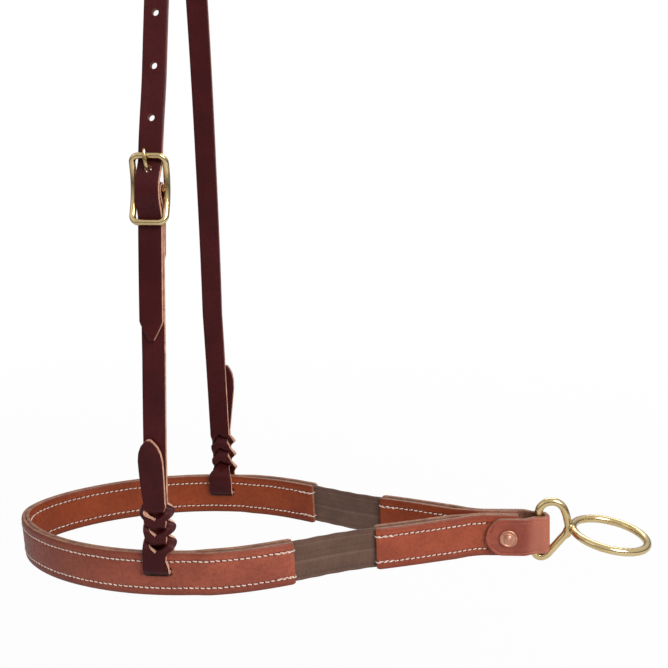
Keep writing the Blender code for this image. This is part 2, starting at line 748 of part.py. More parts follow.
def band_loop_cuts():
    """Down the inner face, through the slit and up the outer face, from inside to outside."""
    half = BAND_LOOP_WIDTH / 2
    inside = -FACE_OUT - INSIDE_GAP
    cuts = []
    for angle in between(0.0, math.pi / 2, BEND_STEPS):
        cuts.append(Cut(inside + LOOP_BEND - LOOP_BEND * math.cos(angle),
                        LOOP_BEND - LOOP_BEND * math.sin(angle), half, turn=angle + math.pi))
    for angle in between(math.pi / 2, 0.0, BEND_STEPS):
        cuts.append(Cut(FACE_OUT - LOOP_BEND + LOOP_BEND * math.cos(angle),
                        LOOP_BEND - LOOP_BEND * math.sin(angle), half,
                        turn=2 * math.pi - angle))
    return cuts


def knot_cuts(*tail):
    """The whole of one bloodknot, from the tip of the tail to the standing cheek strap."""
    working = crossing(3, False) + tail_cuts(*tail)
    down = list(reversed(crossing(2, True)[:-1] + working))
    down += list(reversed(over_edge_cuts()[:-1]))
    for cut in down:
        cut.turn += math.pi
    standing = (crossing(1, True, FACE_OUT, BAND_LOOP_WIDTH / 2)
                + crossing(2, False)[1:] + crossing(3, True)[1:])
    return down + band_loop_cuts() + standing


def hanger_point(distance):
    """Outward place, height and lean of the hanger's line, from the end of the knot up."""
    if distance < BOW_LENGTH:
        lean = max(distance, 0.0) / BOW_RADIUS
        out = HANG_OUT - BOW_RADIUS * (1 - math.cos(lean))
        return out, BOW_START + BOW_RADIUS * math.sin(lean) + min(distance, 0.0), lean
    if distance < BOW_LENGTH + STRAIGHT:
        past = distance - BOW_LENGTH
        height = BOW_START + BOW_RADIUS * math.sin(LEAN) + past * math.cos(LEAN)
        return BOW_END_OUT - past * math.sin(LEAN), height, LEAN
    lean = LEAN + (distance - BOW_LENGTH - STRAIGHT) / CROWN_RADIUS
    return (CROWN_RADIUS * math.cos(lean), HANGER_DROP - PEG_RADIUS + CROWN_RADIUS * math.sin(lean), lean)


def hanger_cut(distance, offset=0.0, half=STRAP_WIDTH / 2, thick=STRAP / 2, far=False):
    """A cut of a strap that follows the hanger's line, offset outwards from it."""
    out, up, lean = hanger_point(distance)
    out += offset * math.cos(lean)
    up += offset * math.sin(lean)
    if far:
        return Cut(-out - HALF_WIDTH, up, half, thick, math.pi - lean)
    return Cut(out - HALF_WIDTH, up, half, thick, lean)


def drift(drifts, up):
    """How far a cheek strap's middle stands behind the noseband's slit axis at a height."""
    share = min(max(up / HANGER_DROP, 0.0), 1.0)
    for i in range(len(DRIFT_SHARES) - 1):
        low, high = DRIFT_SHARES[i], DRIFT_SHARES[i + 1]
        if share <= high:
            return drifts[i] + (drifts[i + 1] - drifts[i]) * (share - low) / (high - low)


def near_place(x, out, up):
    return (x + drift(NEAR_DRIFTS, up) - CROWN_DRIFT, -HALF_WIDTH - out, up - HANGER_DROP)


def off_place(x, out, up):
    return (x + drift(OFF_DRIFTS, up) - CROWN_DRIFT, HALF_WIDTH + out, up - HANGER_DROP)


def crown_place(x, out, up):
    if out < -HALF_WIDTH:
        return near_place(x, -out - 2 * HALF_WIDTH, up)
    return off_place(x, out, up)


# Buckle, on the near cheek strap

BUCKLE_OUT, BUCKLE_UP, BUCKLE_LEAN = hanger_point(BUCKLE_S)


def billet_offset(distance):
    """How far the billet stands out from the hanger's line beside the buckle."""
    past = distance - BUCKLE_S
    if past > BUCKLE_HALF_LENGTH:
        return BILLET_STEP * (1 - ease(BUCKLE_HALF_LENGTH, BUCKLE_HALF_LENGTH + BILLET_SETTLE, past))
    if past > -BUCKLE_HALF_LENGTH:
        swell = math.cos(math.pi / 2 * past / BUCKLE_HALF_LENGTH) ** 2
        return BILLET_STEP + (BILLET_PEAK - BILLET_STEP) * swell
    return BILLET_STEP


def billet_slope(distance):
    rise = billet_offset(distance + SLOPE_STEP) - billet_offset(distance - SLOPE_STEP)
    return math.atan(rise / 2 / SLOPE_STEP)


def billet_cuts():
    """From the crown down the near side, through the buckle, to the pointed tip."""
    cuts = []
    low = BUCKLE_S - BILLET_TAIL
    crown = BOW_LENGTH + STRAIGHT
    settled = min(BUCKLE_S + BUCKLE_HALF_LENGTH + BILLET_SETTLE, crown - BILLET_SETTLE)
    stops = between(HANGER_HALF, crown, CROWN_STEPS // 2)[1:]
    stops += between(crown, settled, BILLET_STEPS)[1:]
    stops += between(settled, BUCKLE_S + BUCKLE_HALF_LENGTH, 6)[1:]
    stops += between(BUCKLE_S + BUCKLE_HALF_LENGTH, BUCKLE_S - BUCKLE_HALF_LENGTH, 16)[1:]
    stops += between(BUCKLE_S - BUCKLE_HALF_LENGTH, low + BILLET_POINT, 4)[1:]
    for stop in stops:
        cut = hanger_cut(stop, billet_offset(stop))
        cut.turn -= billet_slope(stop)
        cuts.append(cut)
    cuts.append(hanger_cut(low, BILLET_STEP, BILLET_POINT_WIDTH / 2))
    return cuts


def standing_stops(end):
    """Distances along the hanger's line from the top of the knot up to end."""
    start = KNOT_TOP - BOW_START
    return [start / 2, 0.0] + between(0.0, end, BOW_STEPS)[1:]


def cheek_fold_cuts():
    """The cheek strap rises to the centre bar, folds round it and is turned back down behind."""
    cuts = []
    front = BAR_OFFSET + FOLD_RADIUS

    def climb(past):
        return ease(-FOLD_RISE_START, -FOLD_RISE_END, past)

    for past in between(-BUCKLE_HALF_LENGTH, 0.0, 12)[:-1]:
        thick = STRAP / 2 + (FOLD_LEATHER - STRAP) / 2 * climb(past)
        slope = (climb(past + SLOPE_STEP) - climb(past - SLOPE_STEP)) / 2 / SLOPE_STEP * front
        cut = hanger_cut(BUCKLE_S + past, front * climb(past), thick=thick)
        cut.turn -= math.atan(slope)
        cuts.append(cut)
    base = hanger_cut(BUCKLE_S, BAR_OFFSET)
    for angle in between(0.0, math.pi, 2 * BEND_STEPS):
        turn = base.turn + angle
        cuts.append(Cut(base.out + FOLD_RADIUS * math.cos(turn), base.up + FOLD_RADIUS * math.sin(turn),
                        STRAP_WIDTH / 2, FOLD_LEATHER / 2, turn))
    behind = BAR_OFFSET - FOLD_RADIUS
    settled = -(STRAP + FOLD_LEATHER) / 2 - SEAT_GAP
    for past in between(0.0, TURN_BACK_SETTLE, 5)[1:] + [TURN_BACK * TURN_BACK_SHARE]:
        step = ease(0.0, TURN_BACK_SETTLE, past)
        cut = hanger_cut(BUCKLE_S - past, behind + (settled - behind) * step, thick=FOLD_LEATHER / 2)
        cut.turn += math.pi
        cuts.append(cut)
    last = hanger_cut(BUCKLE_S - TURN_BACK, settled, STRAP_WIDTH / 3, FOLD_LEATHER / 2)
    last.turn += math.pi
    cuts.append(last)
    return cuts


def buckle_matrix():
    """Frame of the buckle: local X across the strap, Y inwards, Z up the strap."""
    place = near_place(0.0, *(lambda c: (c.out, c.up))(hanger_cut(BUCKLE_S, BAR_OFFSET)))
    return Matrix.Translation(place) @ Matrix.Rotation(-BUCKLE_LEAN, 4, "X")


def near_cheek_strap(paint):
    cuts = knot_cuts(NEAR_TAIL_LENGTH, NEAR_TAIL_LEAN, NEAR_TAIL_LIFT)
    cuts += [hanger_cut(s) for s in standing_stops(BUCKLE_S - BUCKLE_HALF_LENGTH)[:-1]]
    cuts += cheek_fold_cuts()
    made = mesh_object("near_cheek_strap", strap_mesh("near_cheek_strap", cuts, near_place), paint, PARTS)
    bevel(made, STRAP_ROUND)
    low = -TONGUE_EYE - TONGUE_WIRE - SEAT_GAP
    high = FOLD_RADIUS + FOLD_LEATHER / 2 + CUT_OVERRUN
    middle = Matrix.Translation((0, 0, (low + high) / 2))
    size = (TONGUE_SLOT, FOLD_RADIUS * 4, high - low)
    boolean(made, box_cutter("tongue_slot", size, None, None, buckle_matrix() @ middle))
    smooth(made)


def crown_strap(paint):
    cuts = knot_cuts(OFF_TAIL_LENGTH, OFF_TAIL_LEAN, OFF_TAIL_LIFT)
    rising = standing_stops(BOW_LENGTH) + [BOW_LENGTH + STRAIGHT / 2, BOW_LENGTH + STRAIGHT]
    rising += between(BOW_LENGTH + STRAIGHT, HANGER_HALF, CROWN_STEPS // 2)[1:]
    cuts += [hanger_cut(s) for s in rising]
    for cut in billet_cuts():
        cut.out = -cut.out - 2 * HALF_WIDTH
        cut.turn = math.pi - cut.turn
        cuts.append(cut)
    made = mesh_object("crown_strap", strap_mesh("crown_strap", cuts, crown_place), paint, PARTS)
    bevel(made, STRAP_ROUND)
    for number in range(1, SPARE_HOLES + 1):
        distance = BUCKLE_S + TONGUE_HOLE + number * HOLE_PITCH
        spot = hanger_cut(distance, billet_offset(distance))
        turn = spot.turn - billet_slope(distance)
        boolean(made, cylinder_cutter("billet_hole", HOLE_RADIUS, STRAP * 3,
                                      near_place(0, spot.out, spot.up),
                                      (0, -math.cos(turn), math.sin(turn))))
    path = tongue_line()
    index = min(range(len(path)), key=lambda i: abs(path[i][2] - TONGUE_HOLE))
    along = Vector(path[index + 1]) - Vector(path[index - 1])
    turn = buckle_matrix()
    boolean(made, cylinder_cutter("tongue_hole", TONGUE_HOLE_RADIUS, STRAP * 4,
                                  turn @ Vector(path[index]), turn.to_3x3() @ along))
    smooth(made)


def buckle_frame(brass):
    """Arched rectangular frame with its centre bar."""
    half_width = STRAP_WIDTH / 2 + BUCKLE_SIDE_GAP + BUCKLE_WIRE
    inset_x = half_width - BUCKLE_CORNER
    inset_z = BUCKLE_HALF_LENGTH - BUCKLE_CORNER
    line = []
    for quarter, (sx, sz) in enumerate(((1, 1), (-1, 1), (-1, -1), (1, -1))):
        for angle in between(0.0, math.pi / 2, 4):
            turn = angle + quarter * math.pi / 2
            line.append((sx * inset_x + BUCKLE_CORNER * math.cos(turn),
                         sz * inset_z + BUCKLE_CORNER * math.sin(turn)))
        if quarter in (1, 3):
            line += [(sx * half_width, sx * inset_z * share) for share in between(-1.0, 1.0, 6)[1:-1]]
    arched = [(x, -BUCKLE_ARCH * (z / BUCKLE_HALF_LENGTH) ** 2, z) for x, z in line]
    made = as_mesh(curve_object("buckle_frame", [arched], True, radius=BUCKLE_WIRE, resolution=3),
                   PARTS, brass, BUCKLE)
    bar = cylinder_cutter("centre_bar", CENTRE_BAR, 2 * half_width, (0, 0, 0), (1, 0, 0), BUCKLE)
    boolean(made, bar, "UNION")
    smooth(made)


def tongue_line():
    """Middle line of the tongue: its eye round the bar, then the shank up to its tip.

    Each stop of the shank is a height above the bar and a distance outwards from it.
    """
    line = []
    for angle in between(TONGUE_EYE_START, TONGUE_EYE_END, 12):
        line.append((0.0, -TONGUE_EYE * math.cos(angle), TONGUE_EYE * math.sin(angle)))
    hole_out = billet_offset(BUCKLE_S + TONGUE_HOLE) - BAR_OFFSET
    rest_out = BUCKLE_ARCH + BUCKLE_WIRE + TONGUE_WIRE + SEAT_GAP
    tip = BUCKLE_HALF_LENGTH + TONGUE_TIP_PAST_BAR
    start = TONGUE_EYE * math.sin(TONGUE_EYE_END)
    run = TONGUE_HOLE - start
    for up_share, out_share in zip(SHANK_UP_SHARES, SHANK_OUT_SHARES):
        line.append((0.0, -hole_out * out_share, start + run * up_share))
    run = BUCKLE_HALF_LENGTH - TONGUE_HOLE
    for up_share, out_share in zip(LIFT_UP_SHARES, LIFT_OUT_SHARES):
        line.append((TONGUE_SIDE_LEAN * up_share, -hole_out - (rest_out - hole_out) * out_share,
                     TONGUE_HOLE + run * up_share))
    line.append((TONGUE_SIDE_LEAN * tip / BUCKLE_HALF_LENGTH, -rest_out + TONGUE_DIP, tip))
    return line


def buckle_tongue(brass):
    tongue = curve_object("buckle_tongue", [tongue_line()], False, radius=TONGUE_WIRE, resolution=2)
    made = as_mesh(tongue, PARTS, brass, BUCKLE)
    smooth(made)


def empty(name, matrix, parent=None):
    made = bpy.data.objects.new(name, None)
    made.empty_display_size = BAND_HEIGHT
    PARTS.objects.link(made)
    if parent:
        made.parent = parent
    made.matrix_local = matrix
    return made


clear_scene()
PARTS = collection("tie_down_noseband")
CUTTERS = collection("cutters")

SWING = empty("noseband_swing_axis", Matrix.Translation((-CROWN_DRIFT, 0, -HANGER_DROP))
              @ Matrix.Rotation(-NOSEBAND_RISE, 4, "Y"))
NOSEBAND = empty("noseband_middle", Matrix.Translation((0, 0, -SLIT_RISE)), SWING)
RING_PIVOT = empty("ring_swing_axis", Matrix.Translation((LOOP_X, 0, LOOP_LIFT))
                   @ Matrix.Rotation(LOOP_DROOP, 4, "Y"), NOSEBAND)
BUCKLE = empty("buckle_bar_axis", buckle_matrix())

nose_straps(BAND_LEATHER)
elastics(WEBBING)
chin_straps(BAND_LEATHER)
chin_tab(BAND_LEATHER)
rivet_and_burr(COPPER)
loop_ring(BRASS)
near_cheek_strap(HANGER_LEATHER)
crown_strap(HANGER_LEATHER)
buckle_frame(BRASS)
buckle_tongue(BRASS)
bpy.context.view_layer.update()
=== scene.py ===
"""Looks of the tie-down noseband: leather, stitching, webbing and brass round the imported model."""

import bisect
import random
from math import asin, atan, ceil, copysign, cos, floor, pi, radians, sin, sqrt

import bmesh
import bpy
from mathutils import Matrix, Vector, noise


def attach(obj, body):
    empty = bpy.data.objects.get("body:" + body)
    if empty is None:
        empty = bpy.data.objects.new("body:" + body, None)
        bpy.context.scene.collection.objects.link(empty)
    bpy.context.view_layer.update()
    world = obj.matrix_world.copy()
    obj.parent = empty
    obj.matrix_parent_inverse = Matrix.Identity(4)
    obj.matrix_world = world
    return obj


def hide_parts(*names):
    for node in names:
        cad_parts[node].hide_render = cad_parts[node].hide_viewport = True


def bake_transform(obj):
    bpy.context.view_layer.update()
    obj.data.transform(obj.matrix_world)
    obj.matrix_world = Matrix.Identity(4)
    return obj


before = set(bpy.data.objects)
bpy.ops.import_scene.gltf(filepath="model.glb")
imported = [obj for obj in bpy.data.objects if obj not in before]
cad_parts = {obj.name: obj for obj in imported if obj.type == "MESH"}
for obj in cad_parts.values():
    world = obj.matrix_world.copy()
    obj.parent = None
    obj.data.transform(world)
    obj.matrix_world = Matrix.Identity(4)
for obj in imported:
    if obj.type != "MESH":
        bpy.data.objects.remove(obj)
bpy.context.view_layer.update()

MM = 0.001

for left_over in ("Cube", "Light", "Camera"):
    if left_over in bpy.data.objects:
        bpy.data.objects.remove(bpy.data.objects[left_over], do_unlink=True)

scene = bpy.context.scene

# Sizes that the model has too

BAND_HEIGHT = 25.4 * MM
LEATHER = 2.6 * MM
SEAT_GAP = 0.3 * MM
SLIDE_GAP = 0.45 * MM
SLIT_GAP = 1.0 * MM
SLIT_ROOM = 1.4 * MM
EDGE_GAP = 1.1 * MM
INSIDE_GAP = 0.5 * MM
ELASTIC_THICKNESS = 2.0 * MM
ELASTIC_HEIGHT = 24.4 * MM
ELASTIC_TUCK = 46.0 * MM
TUCK_RAMP = 12.0 * MM
NOSE_REACH = 106.0 * MM
HALF_WIDTH = 58.75 * MM
NOSE_FULLNESS = 23.5 * MM
CHEEK_RUN = 62.0 * MM
WIDEST_X = 1.0 * MM
FRONT_END_X = 70.8 * MM
FRONT_END_SHARE = 0.7149
FRONT_END_ANGLE = radians(25.0)
CHIN_START_X = 116.0 * MM
CHIN_START_Y = 22.7 * MM
CHIN_START_ANGLE = radians(15.0)
CHIN_MEET_X = 180.0 * MM
CHIN_LENGTH = 18.5 * MM
NOSEBAND_RISE = radians(2.9)
SLIT_RISE = 2.0 * MM
STACK_HALF = SEAT_GAP / 2 + LEATHER
TUCK_OFFSET = ELASTIC_THICKNESS / 2 + SEAT_GAP
PLY_OFFSET = SEAT_GAP / 2

TAB_HEIGHT = 22.8 * MM
TAB_LEAF_X = 179.5 * MM
TAB_FOLD_X = 216.8 * MM
TAB_FOLD_RADIUS = 2.65 * MM
TAB_FOLD_RUN = 2.4 * MM
TAB_NARROWING = 8.4 * MM
TAB_CORNER = 3.5 * MM
TAB_TIP = TAB_HEIGHT / 2 * 1.04
TAB_IN = 3 * SEAT_GAP / 2 + 2 * STACK_HALF
TAB_OUT = TAB_IN + LEATHER
RIVET_X = 192.5 * MM
RIVET_HEAD_RADIUS = 5.2 * MM
RIVET_HEAD_HEIGHT = 1.3 * MM
BURR_THICKNESS = 1.1 * MM

WIRE_RADIUS = 2.3 * MM
RING_BORE = 38.1 * MM
LOOP_DEPTH = 17.2 * MM
JUNCTION_RISE = 3.5 * MM
RING_OVERLAP = 2.7 * MM
RING_TILT = radians(1.0)
LOOP_X = 209.8 * MM
LOOP_LIFT = 2.6 * MM
LOOP_TILT = radians(9.4)

STRAP_WIDTH = 12.7 * MM
STRAP = 3.0 * MM
BAND_LOOP_WIDTH = 15.0 * MM
BOW_RADIUS = 1350.0 * MM
BOW_START = 60.0 * MM
LEAN = radians(10.5)
DRIFT_SHARES = (0.0, 0.12, 0.28, 0.5, 0.71, 1.0)
NEAR_DRIFTS = [x * MM for x in (-2.6, -2.1, -0.4, 0.2, 2.0, 4.2)]
OFF_DRIFTS = [x * MM for x in (4.6, 2.9, 0.9, 1.7, 3.1, 4.2)]
PEG_RADIUS = 12.7 * MM
LOOP_BEND = 2.4 * MM
KNOT_FIRST = 17.2 * MM
KNOT_PITCH = 9.3 * MM
KNOT_DEPTH = 2.0 * MM
PASSING_HALF_WIDTH = 4.0 * MM

FACE_OUT = STACK_HALF + SLIDE_GAP + STRAP / 2
LAYER_STEP = (STRAP + SEAT_GAP) / 2
KNOT_FRONT = KNOT_DEPTH + LAYER_STEP
KNOT_BACK = KNOT_DEPTH - LAYER_STEP
KNOT_TOP = KNOT_FIRST + 2.5 * KNOT_PITCH
CROWN_RADIUS = PEG_RADIUS + STRAP / 2
HANG_OUT = HALF_WIDTH + KNOT_BACK
BOW_LENGTH = BOW_RADIUS * LEAN
BOW_END_OUT = HANG_OUT - BOW_RADIUS * (1 - cos(LEAN))
STRAIGHT = (BOW_END_OUT - CROWN_RADIUS * cos(LEAN)) / sin(LEAN)
HANGER_DROP = (BOW_START + BOW_RADIUS * sin(LEAN) + STRAIGHT * cos(LEAN)
               - CROWN_RADIUS * sin(LEAN) + PEG_RADIUS)
CROWN_ARC = CROWN_RADIUS * (pi / 2 - LEAN)
CROWN_DRIFT = NEAR_DRIFTS[-1]
HANGER_HALF = BOW_LENGTH + STRAIGHT + CROWN_ARC

BUCKLE_HEIGHT = 210.5 * MM
BUCKLE_HALF_LENGTH = 16.9 * MM
BUCKLE_ARCH = 4.0 * MM
BUCKLE_WIRE = 1.7 * MM
CENTRE_BAR = 1.6 * MM
BUCKLE_CORNER = 3.6 * MM
BUCKLE_SIDE_GAP = 0.8 * MM
FOLD_LEATHER = 2.0 * MM
TURN_BACK = 42.0 * MM
TURN_BACK_SETTLE = 12.0 * MM
BILLET_SETTLE = 45.0 * MM
BILLET_TAIL = 78.5 * MM
TONGUE_WIRE = 1.0 * MM
TONGUE_SIDE_LEAN = -0.9 * MM
TONGUE_HOLE = 9.5 * MM
HOLE_PITCH = 26.7 * MM
HOLE_RADIUS = 1.8 * MM
HOLE_COUNT = 5
BUCKLE_S = BOW_RADIUS * asin((BUCKLE_HEIGHT - BOW_START) / BOW_RADIUS)
BAR_OFFSET = STRAP / 2 + SEAT_GAP + STRAP + SEAT_GAP + BUCKLE_WIRE - BUCKLE_ARCH
BILLET_STEP = STRAP + SEAT_GAP
TONGUE_EYE = CENTRE_BAR + 0.3 * MM + TONGUE_WIRE
FOLD_RADIUS = CENTRE_BAR + SEAT_GAP + FOLD_LEATHER / 2
BILLET_PEAK = BAR_OFFSET + FOLD_RADIUS + FOLD_LEATHER / 2 + SEAT_GAP * 1.5 + STRAP / 2

SWING = (Matrix.Translation((-CROWN_DRIFT, 0, -HANGER_DROP))
         @ Matrix.Rotation(-NOSEBAND_RISE, 4, "Y"))
NOSEBAND = SWING @ Matrix.Translation((0, 0, -SLIT_RISE))
RING_PIVOT = (NOSEBAND @ Matrix.Translation((LOOP_X, 0, LOOP_LIFT))
              @ Matrix.Rotation(LOOP_TILT, 4, "Y"))


# Shader nodes

def plug(tree, socket, value):
    """Links the socket to another node's output, or sets it to a number or a colour."""
    if hasattr(value, "links"):
        tree.links.new(value, socket)
    elif socket.type == "RGBA":
        socket.default_value = (*value, 1.0)
    else:
        socket.default_value = value


def node(tree, kind, inputs=None, out=0, **settings):
    """Adds a node, plugs its inputs by name or number, and gives one of its outputs."""
    made = tree.nodes.new("ShaderNode" + kind)
    for key, value in settings.items():
        setattr(made, key, value)
    for key, value in (inputs or {}).items():
        plug(tree, made.inputs[key], value)
    return made.outputs[out] if len(made.outputs) else None


def calculate(tree, operation, *values):
    return node(tree, "Math", dict(enumerate(values)), operation=operation)


def spread_of(tree, value, low, high, to_low, to_high):
    return node(tree, "MapRange", {"Value": value, "From Min": low, "From Max": high,
                                   "To Min": to_low, "To Max": to_high})


def blend_colour(tree, share, one, two):
    return node(tree, "Mix", {0: share, 6: one, 7: two}, 2, data_type="RGBA")


def mixed(tree, share, one, two):
    return node(tree, "MixShader", {0: share, 1: one, 2: two})


def seen_directly(tree):
    """1 for what the camera sees, also through something clear."""
    return calculate(tree, "MAXIMUM", node(tree, "LightPath", out="Is Camera Ray"),
                     node(tree, "LightPath", out="Is Transmission Ray"))


def placed(name, data, place=None):
    made = bpy.data.objects.new(name, data)
    scene.collection.objects.link(made)
    if place:
        made.location = place
    return made


def plain_object(name, build):
    mesh = bpy.data.meshes.new(name)
    work = bmesh.new()
    build(work)
    work.to_mesh(mesh)
    work.free()
    return placed(name, mesh)


# Camera, light and floor

FRAME_PIXELS = 668.0
FOCAL_PIXELS = 950.0
SENSOR_WIDTH = 36.0
CAMERA_PLACE = (0.1563, -0.5312, -0.1904)
CAMERA_PITCH = radians(77.13)
CAMERA_TURN = radians(7.72)
FLOOR_SIZE = 12.0
FLOOR_HEIGHT = -0.60
LIT_POINT = Vector((0.05, 0.0, -0.4))
# Each lamp's name, place, width and height, and power
LAMPS = (("key_light", (1.0, -1.1, 0.8), (1.0, 0.8), 31.0),
         ("fill_light", (-1.2, -0.8, 0.3), (0.9, 1.1), 1.5),
         ("rear_light", (0.2, 1.2, 0.7), (1.2, 0.7), 9.0))


def camera():
    data = bpy.data.cameras.new("photo_camera")
    data.sensor_width = SENSOR_WIDTH
    data.lens = FOCAL_PIXELS / FRAME_PIXELS * SENSOR_WIDTH
    data.clip_start = 0.01
    scene.camera = placed("photo_camera", data, CAMERA_PLACE)
    scene.camera.rotation_euler = (CAMERA_PITCH, 0.0, CAMERA_TURN)


def background(tree, colour, strength):
    return node(tree, "Background", {"Color": colour, "Strength": strength})


def world_light():
    """White where the camera sees it, a soft light on the object, and a darker lower half in metal."""
    world = bpy.data.worlds.new("studio")
    scene.world = world
    world.use_nodes = True
    tree = world.node_tree
    tree.nodes.clear()
    height = node(tree, "SeparateXYZ", {0: node(tree, "TexCoord", out="Generated")}, "Z")
    mirrored = blend_colour(tree, spread_of(tree, height, 0.0, 0.4, 0.0, 1.0), (0.17, 0.14, 0.11), (1, 1, 1))
    glossy = mixed(tree, node(tree, "LightPath", out="Is Glossy Ray"),
                   background(tree, (0.95, 0.97, 1.0), 0.3), background(tree, mirrored, 0.8))
    shown = mixed(tree, seen_directly(tree), glossy, background(tree, (1, 1, 1), 1.0))
    node(tree, "OutputWorld", {"Surface": shown})


def pale_floor():
    """A pale floor that keeps the object's shadow and turns white away from it."""
    made = plain_object("floor", lambda work: bmesh.ops.create_grid(work, x_segments=1, y_segments=1,
                                                                    size=FLOOR_SIZE))
    made.location = (0, 0, FLOOR_HEIGHT)
    paint = bpy.data.materials.new("pale_floor")
    paint.use_nodes = True
    tree = paint.node_tree
    tree.nodes.clear()
    away = node(tree, "VectorMath", {0: node(tree, "TexCoord", out="Object")}, "Value", operation="LENGTH")
    white = calculate(tree, "MULTIPLY", seen_directly(tree), spread_of(tree, away, 0.45, 1.3, 0.94, 1.0))
    matt = node(tree, "BsdfDiffuse", {"Color": (0.8, 0.8, 0.8)})
    glow = node(tree, "Emission", {"Strength": 1.0})
    node(tree, "OutputMaterial", {"Surface": mixed(tree, white, matt, glow)})
    made.data.materials.append(paint)


def lights():
    for name, place, size, power in LAMPS:
        data = bpy.data.lights.new(name, "AREA")
        data.shape = "RECTANGLE"
        data.size, data.size_y = size
        data.energy = power
        made = placed(name, data, place)
        made.rotation_euler = (LIT_POINT - Vector(place)).to_track_quat("-Z", "Y").to_euler()


camera()
world_light()
pale_floor()
lights()
scene.view_settings.view_transform = "Standard"

# Finishes

STITCH_PITCH = 3.2 * MM
ROW_HEIGHT = 8.0 * MM
NEEDLE_REACH = 0.75 * MM
NEEDLE_HEIGHT = 0.62 * MM
WEFT_PITCH = 0.75 * MM
RIB_PITCH = 1.1 * MM
WARP_STRIPE = 2.6 * MM
UV_SPAN = 0.1
# The hanger's cut edges turn darker above the buckle on the near side and lower down on the off side
EDGE_DARKENING_LEAN = 1.26
EDGE_DARKENING_START = -0.292
EDGE_DARKENING_END = -0.262
# The darker tones below are the leathers' mottle and also painted shade along the band and the tab; the last
# colour is painted light on the tab towards its fold.
FACE_SHADE = (0.12, 0.027, 0.017)
TAB_SHADE = (0.15, 0.034, 0.02)
TAB_PAINTED_LIGHT = (0.60, 0.22, 0.14)


def start_material(name):
    """A new material, its node tree and the place on the object."""
    made = bpy.data.materials.new(name)
    made.use_nodes = True
    return made, made.node_tree, node(made.node_tree, "TexCoord", out="Object")


def finished(material, inputs):
    shader = material.node_tree.nodes["Principled BSDF"]
    for key, value in inputs.items():
        plug(material.node_tree, shader.inputs[key], value)
    return material


def clouds(tree, place, scale, detail=3.0):
    return node(tree, "TexNoise", {"Vector": place, "Scale": scale, "Detail": detail}, "Fac")


def contrast(tree, value):
    return spread_of(tree, value, 0.35, 0.65, 0.0, 1.0)


def bump(tree, height, strength, distance, before=None):
    inputs = {"Height": height, "Strength": strength, "Distance": distance}
    if before is not None:
        inputs["Normal"] = before
    return node(tree, "Bump", inputs)


def strap_place(tree):
    """Metres along the strap, and up from its middle."""
    place = node(tree, "UVMap", uv_map="strap")
    return [calculate(tree, "MULTIPLY", node(tree, "SeparateXYZ", {0: place}, axis), UV_SPAN)
            for axis in "XY"]


def stitch_holes(tree, along, high):
    """1 in the needle holes of the two rows."""
    part = calculate(tree, "FRACT", calculate(tree, "DIVIDE", along, STITCH_PITCH))
    off = calculate(tree, "ABSOLUTE", calculate(tree, "SUBTRACT", part, 0.5))
    gone = calculate(tree, "MULTIPLY", calculate(tree, "SUBTRACT", 0.5, off), STITCH_PITCH / NEEDLE_REACH)
    across = calculate(tree, "DIVIDE", calculate(tree, "SUBTRACT", high, ROW_HEIGHT), NEEDLE_HEIGHT)
    both = calculate(tree, "ADD", calculate(tree, "MULTIPLY", gone, gone),
                     calculate(tree, "MULTIPLY", across, across))
    return spread_of(tree, both, 0.5, 1.5, 1.0, 0.0)


def leather(name, base, second, deep, roughness=0.42, grain=0.22, stitched=False, coat=0.04, shine=0.2,
            painted_light_and_shade=()):
    """Grained leather: clouded colour and fine pebble grain; when stitched, painted shade in the needle
    holes, along the rows and below the lower row, and darker towards both edges.

    The last argument lists painted shade and painted light that come in along the noseband, for how the
    light falls along it: from x, to x, share there, share here, colour."""
    made, tree, place = start_material(name)
    mottle = clouds(tree, place, 520.0)
    colour = blend_colour(tree, contrast(tree, clouds(tree, place, 42.0, 4.0)), base, second)
    colour = blend_colour(tree, spread_of(tree, mottle, 0.42, 0.7, 0.0, 0.35), colour, deep)
    x = node(tree, "SeparateXYZ", {0: place})
    # Painted shade and painted light along the noseband's length.
    for start, end, share_there, share_here, shade in painted_light_and_shade:
        colour = blend_colour(tree, spread_of(tree, x, start, end, share_there, share_here), colour, shade)
    pebbles = node(tree, "TexVoronoi", {"Vector": place, "Scale": 1500.0, "Detail": 2.0}, "Distance",
                   feature="DISTANCE_TO_EDGE")
    height = calculate(tree, "ADD", spread_of(tree, pebbles, 0.0, 0.22, 0.0, 1.0),
                       clouds(tree, place, 2600.0))
    normal = bump(tree, height, grain, 0.00012)
    if stitched:
        along, up = strap_place(tree)
        high = calculate(tree, "ABSOLUTE", up)
        holes = stitch_holes(tree, along, high)
        # Painted shade in the needle holes.
        colour = blend_colour(tree, holes, colour, [c * 0.7 for c in deep])
        # Painted shade along the stitch rows and on the downward-facing strip below the lower row; the
        # colour also darkens towards both edges.
        from_row = calculate(tree, "ABSOLUTE", calculate(tree, "SUBTRACT", high, ROW_HEIGHT))
        rim = BAND_HEIGHT / 2
        for value, low, top, at_low, at_top in (
                (from_row, 0.0, 1.5 * MM, 0.35, 0.0), (high, rim - 2.4 * MM, rim - 0.3 * MM, 0.0, 0.5),
                (up, -ROW_HEIGHT - 1.4 * MM, -ROW_HEIGHT + 0.4 * MM, 0.34, 0.0)):
            colour = blend_colour(tree, spread_of(tree, value, low, top, at_low, at_top), colour, deep)
        normal = bump(tree, calculate(tree, "SUBTRACT", 1.0, holes), 0.7, 0.0004, normal)
    rough = spread_of(tree, mottle, 0.3, 0.7, roughness - 0.06, roughness + 0.1)
    return finished(made, {"Base Color": colour, "Normal": normal, "Roughness": rough, "Coat Weight": coat,
                           "Coat Roughness": 0.35, "Specular IOR Level": shine})


